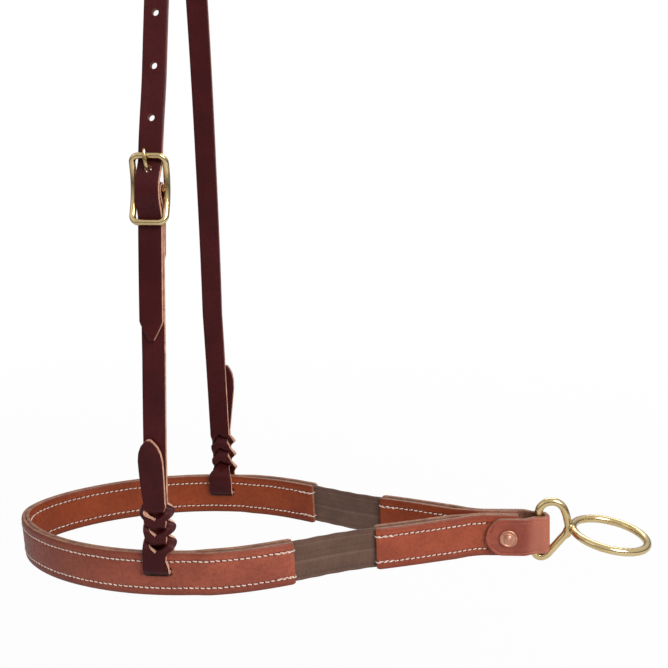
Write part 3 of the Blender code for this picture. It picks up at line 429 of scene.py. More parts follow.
def cut_edge(name, base, second, roughness=0.75, darkened=None):
    """The fibrous cut edge of leather; the last argument is the darker colour that it turns to high on the
    hanger.
    """
    made, tree, place = start_material(name)
    fibre = clouds(tree, place, 900.0, 4.0)
    both = calculate(tree, "MULTIPLY", fibre, clouds(tree, place, 160.0))
    colour = blend_colour(tree, spread_of(tree, both, 0.12, 0.4, 0.0, 1.0), second, base)
    if darkened:
        height = node(tree, "VectorMath", {0: place, 1: (0.0, EDGE_DARKENING_LEAN, 1.0)}, "Value",
                      operation="DOT_PRODUCT")
        colour = blend_colour(tree, spread_of(tree, height, EDGE_DARKENING_START, EDGE_DARKENING_END, 0.0, 0.85), colour, darkened)
    return finished(made, {"Base Color": colour, "Normal": bump(tree, fibre, 0.35, 0.0002),
                           "Roughness": roughness})


def webbing_finish():
    """Woven elastic: ribs along the strap with fine crosswise threads."""
    made, tree, place = start_material("elastic_webbing")
    along, up = strap_place(tree)
    weft = calculate(tree, "SINE", calculate(tree, "MULTIPLY", along, 2 * pi / WEFT_PITCH))
    rib = calculate(tree, "COSINE", calculate(tree, "MULTIPLY", up, 2 * pi / RIB_PITCH))
    lines = node(tree, "TexNoise", {"W": up, "Scale": 1 / WARP_STRIPE, "Detail": 3.0}, "Fac",
                 noise_dimensions="1D")
    colour = blend_colour(tree, contrast(tree, clouds(tree, place, 120.0)), (0.145, 0.072, 0.048),
                          (0.10, 0.049, 0.033))
    # Painted shade in the rib troughs and a painted highlight on the crests of the crosswise threads; the
    # warp stripes vary darker and lighter at random.
    for value, low, high, at_low, at_high, shade in ((rib, -1.0, 0.4, 0.55, 0.0, (0.05, 0.026, 0.018)),
                                                     (lines, 0.5, 0.72, 0.0, 0.5, (0.05, 0.027, 0.02)),
                                                     (lines, 0.28, 0.45, 0.35, 0.0, (0.24, 0.15, 0.11)),
                                                     (weft, -1.0, 1.0, 0.0, 0.22, (0.25, 0.16, 0.12))):
        colour = blend_colour(tree, spread_of(tree, value, low, high, at_low, at_high), colour, shade)
    height = calculate(tree, "ADD", calculate(tree, "MULTIPLY", weft, 0.5), clouds(tree, place, 1800.0))
    return finished(made, {"Base Color": colour, "Normal": bump(tree, height, 0.4, 0.0002),
                           "Roughness": 0.88, "Sheen Weight": 0.15, "Specular IOR Level": 0.25})


def metal(name, base, second, roughness, spots=60.0, dents=0.05):
    """Cast or drawn metal: slightly uneven colour, polish and surface."""
    made, tree, place = start_material(name)
    cloud = clouds(tree, place, spots)
    normal = bump(tree, clouds(tree, place, 900.0, 2.0), 0.04, 0.0001, bump(tree, cloud, dents, 0.001))
    rough = spread_of(tree, cloud, 0.3, 0.7, roughness - 0.03, roughness + 0.06)
    return finished(made, {"Base Color": blend_colour(tree, contrast(tree, cloud), base, second),
                           "Roughness": rough, "Normal": normal, "Metallic": 1.0})


def thread_finish():
    made, tree, place = start_material("waxed_thread")
    strand = clouds(tree, place, 1400.0, 2.0)
    colour = blend_colour(tree, contrast(tree, strand), (0.86, 0.68, 0.58), (0.60, 0.40, 0.33))
    return finished(made, {"Base Color": colour, "Normal": bump(tree, strand, 0.5, 0.0002),
                           "Roughness": 0.6})


# The face is painted darker towards the nose end of the band: painted shade.
FACE = leather("russet_face", (0.375, 0.09, 0.049), (0.27, 0.063, 0.035), FACE_SHADE, stitched=True,
               painted_light_and_shade=[(-0.10, 0.02, 0.36, 0.0, FACE_SHADE)])
CHIN_FACE = leather("russet_chin_face", (0.37, 0.077, 0.035), (0.28, 0.056, 0.026), (0.13, 0.027, 0.015),
                    stitched=True)
LINING = leather("russet_lining", (0.29, 0.052, 0.014), (0.225, 0.038, 0.01), (0.11, 0.02, 0.007),
                 roughness=0.5, stitched=True, coat=0.02)
# The tab gets painted shade from the rivet on and painted light towards its fold.
TAB = leather("russet_tab", (0.38, 0.092, 0.055), (0.26, 0.058, 0.035), TAB_SHADE,
              painted_light_and_shade=[(0.184, 0.192, 0.0, 0.3, TAB_SHADE), (0.198, 0.205, 0.0, 0.45, TAB_PAINTED_LIGHT)])
BAND_EDGE = cut_edge("russet_edge", (0.36, 0.17, 0.095), (0.15, 0.05, 0.03), 0.6)
DARK = leather("latigo", (0.062, 0.0075, 0.0085), (0.042, 0.005, 0.006), (0.018, 0.003, 0.003),
               roughness=0.4, grain=0.16, coat=0.03, shine=0.12)
RAW_EDGE = cut_edge("latigo_edge", (0.80, 0.46, 0.31), (0.40, 0.17, 0.10), darkened=(0.115, 0.025, 0.022))
WEBBING = webbing_finish()
THREAD = thread_finish()
BRASS = metal("polished_brass", (0.68, 0.53, 0.28), (0.58, 0.43, 0.21), 0.14)
COPPER = metal("dull_copper", (0.66, 0.33, 0.23), (0.50, 0.22, 0.14), 0.4, 300.0, 0.25)


# Mesh helpers

SHARP_ANGLE = 40.0
ROUNDED_SHARP = 60.0
ALL_SMOOTH = 180.0
WIRE_SIDES = 20


def between(low, high, steps):
    return [low + (high - low) * i / steps for i in range(steps + 1)]


def ease(start, end, value):
    share = min(max((value - start) / (end - start), 0.0), 1.0)
    return share * share * (3 - 2 * share)


def level(value, stops, levels):
    """The level at value, straight between the stops."""
    for i in range(len(stops) - 1):
        if value <= stops[i + 1]:
            share = max(value - stops[i], 0.0) / (stops[i + 1] - stops[i])
            return levels[i] + (levels[i + 1] - levels[i]) * share
    return levels[-1]


def turns(sides):
    return [2 * pi * number / sides for number in range(sides)]


def direction(line, i, closed=False):
    """Heading of the line at point i, from the points on either side of it."""
    if closed:
        return (line[(i + 1) % len(line)] - line[i - 1]).normalized()
    return (line[min(i + 1, len(line) - 1)] - line[max(i - 1, 0)]).normalized()


def smooth_path(points, first, last, steps=4):
    """A smooth curve through points[first] to points[last], without its start."""
    line = []
    for i in range(first, last):
        a, b, c = points[i - 1], points[i], points[i + 1]
        d = points[min(i + 2, len(points) - 1)]
        for share in between(0.0, 1.0, steps)[1:]:
            line.append(0.5 * (2 * b + (c - a) * share + (2 * a - 5 * b + 4 * c - d) * share ** 2
                               + (3 * b - a - 3 * c + d) * share ** 3))
    return line


class Shape:
    """Collects tubes of rings into one mesh with finishes and a strap UV map."""

    def __init__(self, name, *finishes):
        self.name, self.finishes = name, finishes
        self.work = bmesh.new()
        self.uv = self.work.loops.layers.uv.new("strap")

    def tube(self, rings, tags=None, uvs=None, closed=False, caps=0):
        """Skins the rings. tags gives the finish of each side of the tube, and uvs (u, v) per point."""
        rows = [[self.work.verts.new(p) for p in ring] for ring in rings]
        count = len(rows[0])
        for i in range(len(rows) if closed else len(rows) - 1):
            i2 = (i + 1) % len(rows)
            for j in range(count):
                k = (j + 1) % count
                face = self.work.faces.new((rows[i][j], rows[i][k], rows[i2][k], rows[i2][j]))
                face.material_index = tags[j] if tags else 0
                face.smooth = True
                if uvs:
                    spots = (uvs[i][j], uvs[i][k or j], uvs[i2][k or j], uvs[i2][j])
                    for loop, (u, v) in zip(face.loops, spots):
                        loop[self.uv].uv = (u / UV_SPAN, v / UV_SPAN)
        if not closed:
            for row in (rows[0][::-1], rows[-1]):
                face = self.work.faces.new(row)
                face.material_index = caps
                face.smooth = True

    def done(self, body, slot, replaces=(), sharp=SHARP_ANGLE):
        bmesh.ops.recalc_face_normals(self.work, faces=self.work.faces)
        mesh = bpy.data.meshes.new(self.name)
        self.work.to_mesh(mesh)
        self.work.free()
        for finish in self.finishes:
            mesh.materials.append(finish)
        mesh.set_sharp_from_angle(angle=radians(sharp))
        made = placed(self.name, mesh)
        carry(made, body, replaces)
        return made


def carry(made, body, replaces):
    if replaces:
        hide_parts(*replaces)
    if body:
        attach(made, body)


def applied(target):
    """Replaces the object's mesh by what its modifiers make of it."""
    bpy.context.view_layer.update()
    graph = bpy.context.evaluated_depsgraph_get()
    mesh = bpy.data.meshes.new_from_object(target.evaluated_get(graph), preserve_all_data_layers=True,
                                           depsgraph=graph)
    target.modifiers.clear()
    old = target.data
    target.data = mesh
    bpy.data.meshes.remove(old)
    mesh.name = target.name


def cut_away(target, cutters):
    """Boolean cuts whose new faces have the finish of the cut edge."""
    for cutter in cutters:
        step = target.modifiers.new("cut", "BOOLEAN")
        step.operation = "DIFFERENCE"
        step.solver = "EXACT"
        step.object = cutter
        cutter.data.materials.clear()
        cutter.data.materials.append(target.data.materials[1])
    applied(target)
    for cutter in cutters:
        bpy.data.objects.remove(cutter, do_unlink=True)
    target.data.set_sharp_from_angle(angle=radians(SHARP_ANGLE))


def round_cutter(radius, depth, segments, place):
    cutter = plain_object("round_cutter", lambda work: bmesh.ops.create_cone(
        work, cap_ends=True, segments=segments, radius1=radius, radius2=radius, depth=depth))
    cutter.matrix_world = place
    return cutter


# Plan of the noseband

def bezier(start, start_handle, end_handle, end, steps=48):
    points = []
    for share in between(0.0, 1.0, steps):
        rest = 1 - share
        points.append(start * rest ** 3 + start_handle * 3 * rest ** 2 * share
                      + end_handle * 3 * rest * share ** 2 + end * share ** 3)
    return points


# Handles of the plan's curves, as parts of their run
CHEEK_HANDLE = 2.5
ELASTIC_HANDLE = 3
CHIN_HANDLE = 2.4
MEET_HANDLE = 5


def heading(angle):
    return Vector((cos(angle), -sin(angle)))


class PlanLine:
    """Middle line of one half of the noseband, from the nose to the chin, at +Y."""

    def __init__(self):
        nose = Vector((-NOSE_REACH, 0))
        widest = Vector((WIDEST_X, HALF_WIDTH))
        front = Vector((FRONT_END_X, HALF_WIDTH * FRONT_END_SHARE))
        chin = Vector((CHIN_START_X, CHIN_START_Y))
        meet = Vector((CHIN_MEET_X, STACK_HALF + SEAT_GAP / 2))
        front_heading, chin_heading = heading(FRONT_END_ANGLE), heading(CHIN_START_ANGLE)
        span = (chin - front).length
        run = (front.x - widest.x) / CHEEK_HANDLE
        reach = meet.x - chin.x
        self.points = bezier(nose, nose + Vector((0, NOSE_FULLNESS)), widest - Vector((CHEEK_RUN, 0)),
                             widest, 96)
        self.points += bezier(widest, widest + Vector((run, 0)), front - front_heading * run, front)[1:]
        self.front = self.length()
        self.points += bezier(front, front + front_heading * span / ELASTIC_HANDLE,
                              chin - chin_heading * span / ELASTIC_HANDLE, chin)[1:]
        self.chin = self.length()
        self.points += bezier(chin, chin + chin_heading * reach / CHIN_HANDLE,
                              meet - Vector((reach / MEET_HANDLE, 0)), meet)[1:]
        self.points.append(meet + Vector((CHIN_LENGTH, 0)))
        self.end = self.length()
        self.gone = [0.0]
        for a, b in zip(self.points, self.points[1:]):
            self.gone.append(self.gone[-1] + (b - a).length)

    def length(self):
        return sum((b - a).length for a, b in zip(self.points, self.points[1:]))

    def at(self, distance, side=1):
        """Point and outward normal; a negative distance is on the near side."""
        if distance < 0:
            distance, side = -distance, -side
        low = min(max(bisect.bisect_right(self.gone, distance) - 1, 0), len(self.gone) - 2)
        a, b = self.points[low], self.points[low + 1]
        share = (distance - self.gone[low]) / (self.gone[low + 1] - self.gone[low])
        before = self.points[low - 1] if low else Vector((b.x, -b.y))
        after = self.points[min(low + 2, len(self.points) - 1)]
        along = (b - before).normalized().lerp((after - a).normalized(), share).normalized()
        point = a.lerp(b, share)
        return Vector((point.x, side * point.y)), Vector((-along.y, side * along.x))


PLAN = PlanLine()


def near_face(distance):
    """How far the plies' inner faces stand off the middle line; they part to hold the elastic."""
    distance = abs(distance)
    front = ease(PLAN.front - ELASTIC_TUCK - TUCK_RAMP, PLAN.front - ELASTIC_TUCK, distance)
    chin = 1 - ease(PLAN.chin + ELASTIC_TUCK, PLAN.chin + ELASTIC_TUCK + TUCK_RAMP, distance)
    tucked = front if distance < (PLAN.front + PLAN.chin) / 2 else chin
    return PLY_OFFSET + (TUCK_OFFSET - PLY_OFFSET) * tucked


def outer_face(distance):
    return near_face(distance) + LEATHER


def inner_face(distance):
    return -near_face(distance) - LEATHER


def band_place(distance, out, up, side=1):
    point, normal = PLAN.at(distance, side)
    spot = point + normal * out
    return NOSEBAND @ Vector((spot.x, spot.y, up))


def band_spacing(start, end, spacing):
    return between(start, end, max(2, round((end - start) / spacing)))


# Leather of the noseband

PLY_SPACING = 1.6 * MM
END_REACH = 0.7 * MM
END_ROUND = 0.45 * MM
# Across a ply: the edge's rounding through the leather and along its face, and the hidden edge's
PLY_ROUND = 0.95 * MM
PLY_ROLL = 2.3 * MM
SEAM_ROUND = 0.3 * MM
GROOVE = 0.28 * MM
# A groove's cross-section: offset from its middle in mm, and share of its depth
ROW_GROOVE = ((-1.1, 0.0), (-0.45, 0.6), (0.0, 1.0), (0.45, 0.6), (1.1, 0.0))
CREASE_GROOVE = ((-0.9, 0.0), (-0.42, 0.55), (0.0, 1.0), (0.42, 0.55), (0.9, 0.0))
PLY_ANGLES = (15.0, 30.0, 45.0, 60.0, 75.0, 90.0)
# Finishes round a ply and round the tab: face, cut edge, back, cut edge, face
PLY_TAGS = [0] * 19 + [1] * 4 + [2] + [1] * 4 + [0] * 5
TAB_TAGS = [0] * 16 + [1] * 3 + [2] + [1] * 3 + [0] * 2
EDGE_WAVER = 0.12 * MM
WAVER_RATE = 28.0
SEAM_INSET_SHARE = 0.4
FACE_STEP = 4.0 * MM
SLIT_CORNER = 1.8 * MM


def groove_at(up, profile):
    return [(up + offset * MM, depth) for offset, depth in profile]


def rolled(face, edge, depth, roll, angles):
    """Points that round a face over to its edge, depth through the leather and roll along it."""
    points = []
    for turn in map(radians, angles):
        points.append((face - depth * (1 - cos(turn)),
                       edge - copysign(roll, edge) * (1 - sin(turn))))
    return points


def end_inset(distance, start, end):
    """Small rounding of a ply's two ends."""
    share = max(0.0, 1 - min(distance - start, end - distance) / END_REACH)
    return END_ROUND * (1 - sqrt(max(0.0, 1 - share * share)))


def ply_section(face, seam, half):
    """One ply across: face is the seen side's offset, seam the hidden one's."""
    sign = 1 if face > seam else -1
    heights = [(-half + PLY_ROLL, 0.0), *groove_at(-ROW_HEIGHT, ROW_GROOVE), (-FACE_STEP, 0.0), (0.0, 0.0),
               (FACE_STEP, 0.0), *groove_at(ROW_HEIGHT, ROW_GROOVE), (half - PLY_ROLL, 0.0)]
    middle, small = (face + seam) / 2, seam + sign * SEAM_ROUND
    return ([(face - sign * GROOVE * depth, up) for up, depth in heights]
            + rolled(face, half, sign * PLY_ROUND, PLY_ROLL, PLY_ANGLES)
            + [(middle, half), (small, half), (seam, half - SEAM_ROUND),
               (seam, -half + SEAM_ROUND), (small, -half), (middle, -half)]
            + rolled(face, -half, sign * PLY_ROUND, PLY_ROLL, PLY_ANGLES[::-1]))


def ply(shape, start, end, outer, side=1):
    rings, uvs = [], []
    sign = 1 if outer else -1
    for distance in band_spacing(start, end, PLY_SPACING):
        seam = near_face(distance)
        inset = end_inset(distance, start, end)
        waver = noise.noise(Vector((distance * WAVER_RATE, 3.0 * side, 1.0 if outer else 7.0)))
        points = ply_section(sign * (seam + LEATHER - inset), sign * (seam + inset * SEAM_INSET_SHARE),
                             BAND_HEIGHT / 2 - inset + EDGE_WAVER * waver)
        rings.append([band_place(distance, out, up, side) for out, up in points])
        uvs.append([(distance, up) for out, up in points])
    shape.tube(rings, PLY_TAGS, uvs, caps=1)


def slit_cutter(side, drift):
    size = (BAND_LOOP_WIDTH + 2 * SLIT_GAP, STACK_HALF * 4, STRAP + 2 * SLIT_ROOM)

    def build(work):
        made = bmesh.ops.create_cube(work, size=1.0)
        bmesh.ops.scale(work, vec=size, verts=made["verts"])
        upright = [e for e in work.edges if abs((e.verts[0].co - e.verts[1].co).y) > STACK_HALF]
        bmesh.ops.bevel(work, geom=upright, offset=SLIT_CORNER, segments=5, affect="EDGES", profile=0.5)

    cutter = plain_object("slit_cutter", build)
    cutter.matrix_world = NOSEBAND @ Matrix.Translation((drift, side * HALF_WIDTH, SLIT_RISE))
    return cutter


def nose_leather():
    for name, node_name, outer, finish in (("nose_strap_grain_face", "nose_strap_outer", True, FACE),
                                           ("nose_strap_grain_lining", "nose_strap_liner", False, LINING)):
        shape = Shape(name, finish, BAND_EDGE, BAND_EDGE)
        ply(shape, -PLAN.front, PLAN.front, outer)
        made = shape.done(None, "band_leather")
        cut_away(made, [slit_cutter(-1, NEAR_DRIFTS[0]), slit_cutter(1, OFF_DRIFTS[0])])
        carry(made, "nose", [node_name])


def chin_leather():
    for word, side in (("near", -1), ("off", 1)):
        for layer, outer, finish in (("outer", True, CHIN_FACE), ("liner", False, LINING)):
            shape = Shape(word + "_chin_leather_" + layer, finish, BAND_EDGE, BAND_EDGE)
            ply(shape, PLAN.chin, PLAN.end, outer, side)
            shape.done("chin", "band_leather", [word + "_chin_strap_" + layer])


# Stitching

STITCH_REACH = 1.22 * MM
STITCH_RISE = 0.34 * MM
STITCH_RADIUS = 0.4 * MM
STITCH_TAPER = 0.3
STITCH_FLATNESS = 0.85
STITCH_SIDES = 8
STITCH_LEAN = 0.16
STITCH_STRAY = 0.12
LEAN_STRAY = 0.06
ALONG_STRAY = 0.08
BACK_STITCHES = 3
BACK_STITCH_OFFSET = 0.5 * MM
END_THREAD_OUT = 0.33 * MM
END_THREAD_ACROSS = 0.36 * MM
TAB_COVER = 1.4 * MM
CLOSED_GAP = 1.3 * MM
STITCH_INSET = 2.2 * MM
BACK_STITCH_INSET = 2.4 * MM
STITCH_SHARES = (-1.0, -0.86, -0.55, 0.0, 0.55, 0.86, 1.0)
# The last stitch over a cut end: distance from the end and height over the face, in mm
OVER_END = ((2.3, -0.3), (1.5, 0.12), (0.5, 0.16), (-0.25, -0.35), (-0.46, -1.2))


def stitch(shape, centre, up, out, sign, side, lean):
    rings = []
    for share in STITCH_SHARES:
        lift = out + sign * STITCH_RISE * (sqrt(max(0.0, 1 - share * share)) - 1)
        radius = STITCH_RADIUS * (1 - STITCH_TAPER * share * share)
        rings.append([band_place(centre + share * STITCH_REACH,
                                 lift + radius * cos(turn) * STITCH_FLATNESS,
                                 up + lean * share + radius * sin(turn), side)
                      for turn in turns(STITCH_SIDES)])
    shape.tube(rings)


def end_stitches(shape, end, inward, out_at, sign, side, up):
    """Back-stitches at a strap's end, and the last one laid over the cut end into the elastic."""
    for number in range(BACK_STITCHES):
        centre = end + inward * (BACK_STITCH_INSET + number * STITCH_PITCH)
        offset = -copysign(BACK_STITCH_OFFSET, up)
        stitch(shape, centre, up + offset + random.uniform(-0.1, 0.1) * MM, out_at(centre), sign, side,
               random.uniform(-0.25, 0.1) * MM)
    face, core = out_at(end), sign * ELASTIC_THICKNESS / 2
    path = [Vector((end + inward * along * MM, face + sign * over * MM)) for along, over in OVER_END]
    path.append(Vector((end - inward * 0.42 * MM, (face + core) / 2 - sign * 0.4 * MM)))
    path.append(Vector((end - inward * 0.4 * MM, core)))
    rings = []
    for i, spot in enumerate(path):
        slope = direction(path, i)
        ring = []
        for turn in turns(STITCH_SIDES):
            lift = END_THREAD_OUT * cos(turn)
            across = END_THREAD_ACROSS * sin(turn)
            ring.append(band_place(spot.x - slope.y * lift, spot.y + slope.x * lift, up + across, side))
        rings.append(ring)
    shape.tube(rings)


def stitch_row(shape, start, end, out_at, sign, side, up, skip):
    for number in range(ceil(start / STITCH_PITCH - 0.5), floor(end / STITCH_PITCH - 0.5) + 1):
        centre = (number + 0.5) * STITCH_PITCH
        if skip and skip(centre):
            continue
        jitter = random.uniform(-STITCH_STRAY, STITCH_STRAY) * MM
        lean = (STITCH_LEAN + random.uniform(-LEAN_STRAY, LEAN_STRAY)) * MM
        stitch(shape, centre + random.uniform(-ALONG_STRAY, ALONG_STRAY) * MM, up + jitter, out_at(centre),
               sign, side, lean)


def under_tab(centre):
    return PLAN.at(centre)[0].x > TAB_LEAF_X + TAB_COVER


def closed_up(centre):
    return PLAN.at(centre)[0].y - STACK_HALF < CLOSED_GAP


def stitching(body, seed, sides, start, end, ends, hidden):
    """Both rows on both faces, with back-stitches at the ends that meet an elastic."""
    random.seed(seed)
    shape = Shape(body + "_strap_stitching", THREAD)
    for side in sides:
        for up in (ROW_HEIGHT, -ROW_HEIGHT):
            for out_at, sign, skip in ((outer_face, 1, hidden[0]), (inner_face, -1, hidden[1])):
                stitch_row(shape, start, end, out_at, sign, side, up, skip)
                for cut_end, inward in ends:
                    end_stitches(shape, cut_end, inward, out_at, sign, side, up)
    shape.done(body, "band_leather", sharp=ALL_SMOOTH)


# Elastic webbing

RIB_DEPTH = 0.13 * MM
WEBBING_ROUND = 0.5 * MM
WEBBING_CHAMFER = 0.1 * MM
SLACK = 0.12 * MM
SLACK_LENGTH = 1.9 * MM
SWAY = 0.25 * MM
SWAY_RATE = 60.0
WEBBING_SPACING = 1.5 * MM
BARE_RAMP = 6 * MM
RIM_SHARE = 0.55


def webbing_section():
    half, thick = ELASTIC_HEIGHT / 2, ELASTIC_THICKNESS / 2
    heights = between(-half + WEBBING_ROUND, half - WEBBING_ROUND, 4 * round(ELASTIC_HEIGHT / RIB_PITCH))
    ribs = [(thick - RIB_DEPTH * (1 - abs(cos(pi * up / RIB_PITCH)) ** 0.7), up) for up in heights]
    rim = [(thick * RIM_SHARE, half - WEBBING_CHAMFER), (0.0, half),
           (-thick * RIM_SHARE, half - WEBBING_CHAMFER)]
    return (ribs + rim + [(-out, up) for out, up in reversed(ribs)]
            + [(-out, -up) for out, up in rim])


def webbing():
    start, end = PLAN.front - ELASTIC_TUCK, PLAN.chin + ELASTIC_TUCK
    section = webbing_section()
    for word, side in (("near", -1), ("off", 1)):
        shape = Shape(word + "_ribbed_webbing", WEBBING)
        rings, uvs = [], []
        for distance in band_spacing(start, end, WEBBING_SPACING):
            bare = (ease(PLAN.front, PLAN.front + BARE_RAMP, distance)
                    * (1 - ease(PLAN.chin - BARE_RAMP, PLAN.chin, distance)))
            slack = SLACK * bare * sin(distance / SLACK_LENGTH)
            sway = SWAY * bare * noise.noise(Vector((distance * SWAY_RATE, side, 4.0)))
            rings.append([band_place(distance, out + sway, up + slack * up / (ELASTIC_HEIGHT / 2), side)
                          for out, up in section])
            uvs.append([(distance, up) for out, up in section])
        shape.tube(rings, uvs=uvs)
        made = shape.done(None, "elastic", [word + "_elastic"], sharp=ROUNDED_SHARP)
        band_place(PLAN.front, 0, 0, side)
        band_place(PLAN.chin, 0, 0, side)
        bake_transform(made)


# Chin tab with its rivet

TAB_ROUND = 0.8 * MM
TAB_BACK_ROUND = 0.3 * MM
TAB_ANGLES = (30.0, 60.0, 90.0)
CREASE_INSET = 1.9 * MM
CREASE_DEPTH = 0.45 * MM
CREASE_HALF_WIDTH = 0.9 * MM
CREASE_FADE = 4 * MM
CREASE_FLATTENED = 0.85
TIP_START = radians(6)
PLAIN_SHARES = (0.3, 0.45, 0.6, 0.7, 0.8, 0.9)
RIVET_PLACE = (NOSEBAND @ Matrix.Translation((RIVET_X, 0, 0)) @ Matrix.Rotation(pi / 2, 4, "X"))
RIVET_HOLE_RADIUS = 2.3 * MM
# Radius and height in mm round the burr, and of the rivet's peened end and neck
BURR_PROFILE = ((2.25, 0.0), (2.25, 0.8), (2.45, 1.0), (2.75, 0.98), (3.0, 0.76), (3.5, 0.66), (3.95, 0.74),
                (4.3, 1.0), (4.6, 1.1), (4.9, 1.04), (5.12, 0.84), (5.2, 0.5), (5.2, 0.0))
PEEN_PROFILE = ((0.25, 1.28), (0.8, 1.25), (1.2, 1.02), (1.5, 0.86), (2.05, 0.72), (2.4, 0.46), (2.5, 0.2),
                (2.35, 0.0), (2.0, -0.06))


def tab_path():
    """Middle line of the folded tab in plan, from the near leaf's tip round to the off leaf's."""
    half, radius = (TAB_IN + TAB_OUT) / 2, TAB_FOLD_RADIUS + LEATHER / 2
    centre = TAB_FOLD_X - LEATHER - TAB_FOLD_RADIUS
    start = centre - TAB_FOLD_RUN - TAB_NARROWING
    line = [(TAB_LEAF_X + TAB_TIP * (1 - cos(a)) + 0.02 * MM, -half)
            for a in between(TIP_START, pi / 2, 16)]
    line += [(x, -half) for x in between(line[-1][0], start, 6)[1:]]
    line += [(start + TAB_NARROWING * share, -half + (half - radius) * ease(0.0, 1.0, share))
             for share in between(0.0, 1.0, 10)[1:]]
    bend = [(centre + radius * cos(angle), radius * sin(angle))
            for angle in between(-pi / 2, pi / 2, 24)]
    return [Vector(spot) for spot in line + bend + [(x, -y) for x, y in reversed(line)]]


def tab_half_height(x):
    half = TAB_HEIGHT / 2
    back = TAB_LEAF_X + TAB_TIP - x
    past = x - (TAB_FOLD_X + SEAT_GAP - TAB_CORNER)
    if back > 0:
        return min(half, sqrt(max(TAB_TIP ** 2 - back * back, 0.0)))
    if past > 0:
        return half - TAB_CORNER + sqrt(max(TAB_CORNER ** 2 - past * past, 0.0))
    return half


def tab_crease(x):
    """Height of the pressed border line above the tab's middle."""
    back = TAB_LEAF_X + TAB_TIP - x
    reach = TAB_TIP - CREASE_INSET
    if back > 0:
        return sqrt(max(reach * reach - back * back, 0.0))
    return min(reach, tab_half_height(x) - CREASE_INSET)


def tab_section(half, crease, deep):
    """Out and up of points across the tab, out measured from its middle."""
    thick = LEATHER / 2
    radius = min(TAB_ROUND, half * 0.4)
    small = min(TAB_BACK_ROUND, half * 0.3)
    crease = min(crease, half - radius - 0.95 * MM)
    if crease > CREASE_INSET:
        flat = [(share * (crease - CREASE_HALF_WIDTH), 0.0) for share in (-0.5, 0.0, 0.5)]
        heights = groove_at(-crease, CREASE_GROOVE) + flat + groove_at(crease, CREASE_GROOVE)
    else:
        shares = [-share for share in reversed(PLAIN_SHARES)] + [0.0, *PLAIN_SHARES]
        heights = [(share * (half - radius), 0.0) for share in shares]
    heights = [(-half + radius, 0.0)] + heights + [(half - radius, 0.0)]
    return ([(thick - CREASE_DEPTH * deep * depth, up) for up, depth in heights]
            + rolled(thick, half, radius, radius, TAB_ANGLES)
            + [(-thick + TAB_BACK_ROUND, half), (-thick, half - small),
               (-thick, -half + small), (-thick + TAB_BACK_ROUND, -half)]
            + rolled(thick, -half, radius, radius, TAB_ANGLES[::-1]))


def tab():
    shape = Shape("chin_tab_leather", TAB, BAND_EDGE, BAND_EDGE)
    path = tab_path()
    rings = []
    for i, spot in enumerate(path):
        along = direction(path, i)
        crease = tab_crease(spot.x)
        deep = ease(0.0, 1.0, crease / CREASE_FADE)
        deep *= 1 - CREASE_FLATTENED * ease(TAB_FOLD_X - 9 * MM, TAB_FOLD_X - 3 * MM, spot.x)
        rings.append([NOSEBAND @ Vector((spot.x + along.y * out, spot.y - along.x * out, up))
                      for out, up in tab_section(tab_half_height(spot.x), crease, deep)])
    shape.tube(rings, TAB_TAGS, caps=1)
    made = shape.done(None, "band_leather")
    cut_away(made, [round_cutter(RIVET_HOLE_RADIUS, TAB_OUT * 3, 40, RIVET_PLACE)])
    carry(made, "chin", ["chin_tab"])


def lathe(shape, profile, place, steps=56, closed=False, wobble=0.0):
    """Turns (radius, height) points round local Z; place maps local points to the world."""
    rings = []
    for radius, height in profile:
        ring = []
        for turn in turns(steps):
            swell = 1 + wobble * noise.noise(Vector((cos(turn) * 1.7, sin(turn) * 1.7,
                                                     height * 900)))
            ring.append(place @ Vector((radius * swell * cos(turn), radius * swell * sin(turn),
                                        height)))
        rings.append(ring)
    shape.tube(rings, closed=closed)


def rivet_parts():
    low = TAB_OUT + SEAT_GAP
    top = low + BURR_THICKNESS + 0.05 * MM
    burr = Shape("copper_burr", COPPER)
    lathe(burr, [(r * MM, low + h * MM) for r, h in BURR_PROFILE], RIVET_PLACE, closed=True)
    burr.done("chin", "copper", ["rivet_burr"])
    rivet = Shape("copper_rivet", COPPER)
    head = [(RIVET_HEAD_RADIUS * cos(a) ** 0.5 + 0.01 * MM, -low - RIVET_HEAD_HEIGHT * sin(a))
            for a in between(0.0, pi / 2 - 0.03, 10)]
    lathe(rivet, [(r * MM, top + h * MM) for r, h in PEEN_PROFILE] + [(2.0 * MM, -low)] + head, RIVET_PLACE,
          wobble=0.05)
    rivet.done("chin", "copper", ["rivet"])


# Cast loop and ring

LOOP_STOPS = [(0.0, -6.0), (0.0, 0.0), (0.0, 5.0), (-0.9, 9.0), (-1.1, 12.0), (0.4, 15.0), (3.2, 17.3),
              (7.4, 18.0), (11.4, 16.3), (14.2, 12.3), (16.0, 7.9), (17.4, 3.5), (16.4, -0.4),
              (14.4, -3.9), (12.2, -7.9), (10.0, -11.7), (7.9, -15.2), (5.4, -17.2), (2.6, -17.2),
              (0.6, -15.0), (0.0, -11.0)]
CAST_SWELL = 0.12 * MM
# The boss at the ring, in mm: along the loop, up, and its half length, half depth and half height
BOSSES = ((1.4, 0.0, 3.1, 3.1, 3.1), (0.0, -2.6, 2.9, 2.2, 4.4), (-0.2, 2.4, 2.2, 2.2, 2.8))
CAST_GRAIN = 0.36 * MM
POLISH_ROUNDS = 36


def loop_line():
    """Middle line of the cast loop: its bar, its round shoulders and its point at the ring."""
    points = [Vector((x * MM, 0.0, z * MM)) for x, z in LOOP_STOPS]
    return smooth_path(points[-1:] + points + points[:2], 1, len(points) + 1)


def wire_rings(line, closed, radius, place, up, sides=WIRE_SIDES):
    """Rings of a wire whose section keeps one axis along up; radius may give a size for each point."""
    rings = []
    for i, spot in enumerate(line):
        across = direction(line, i, closed).cross(up).normalized()
        size = radius[i] if isinstance(radius, list) else radius
        rings.append([place @ (spot + across * size * cos(a) + up * size * sin(a))
                      for a in turns(sides)])
    return rings


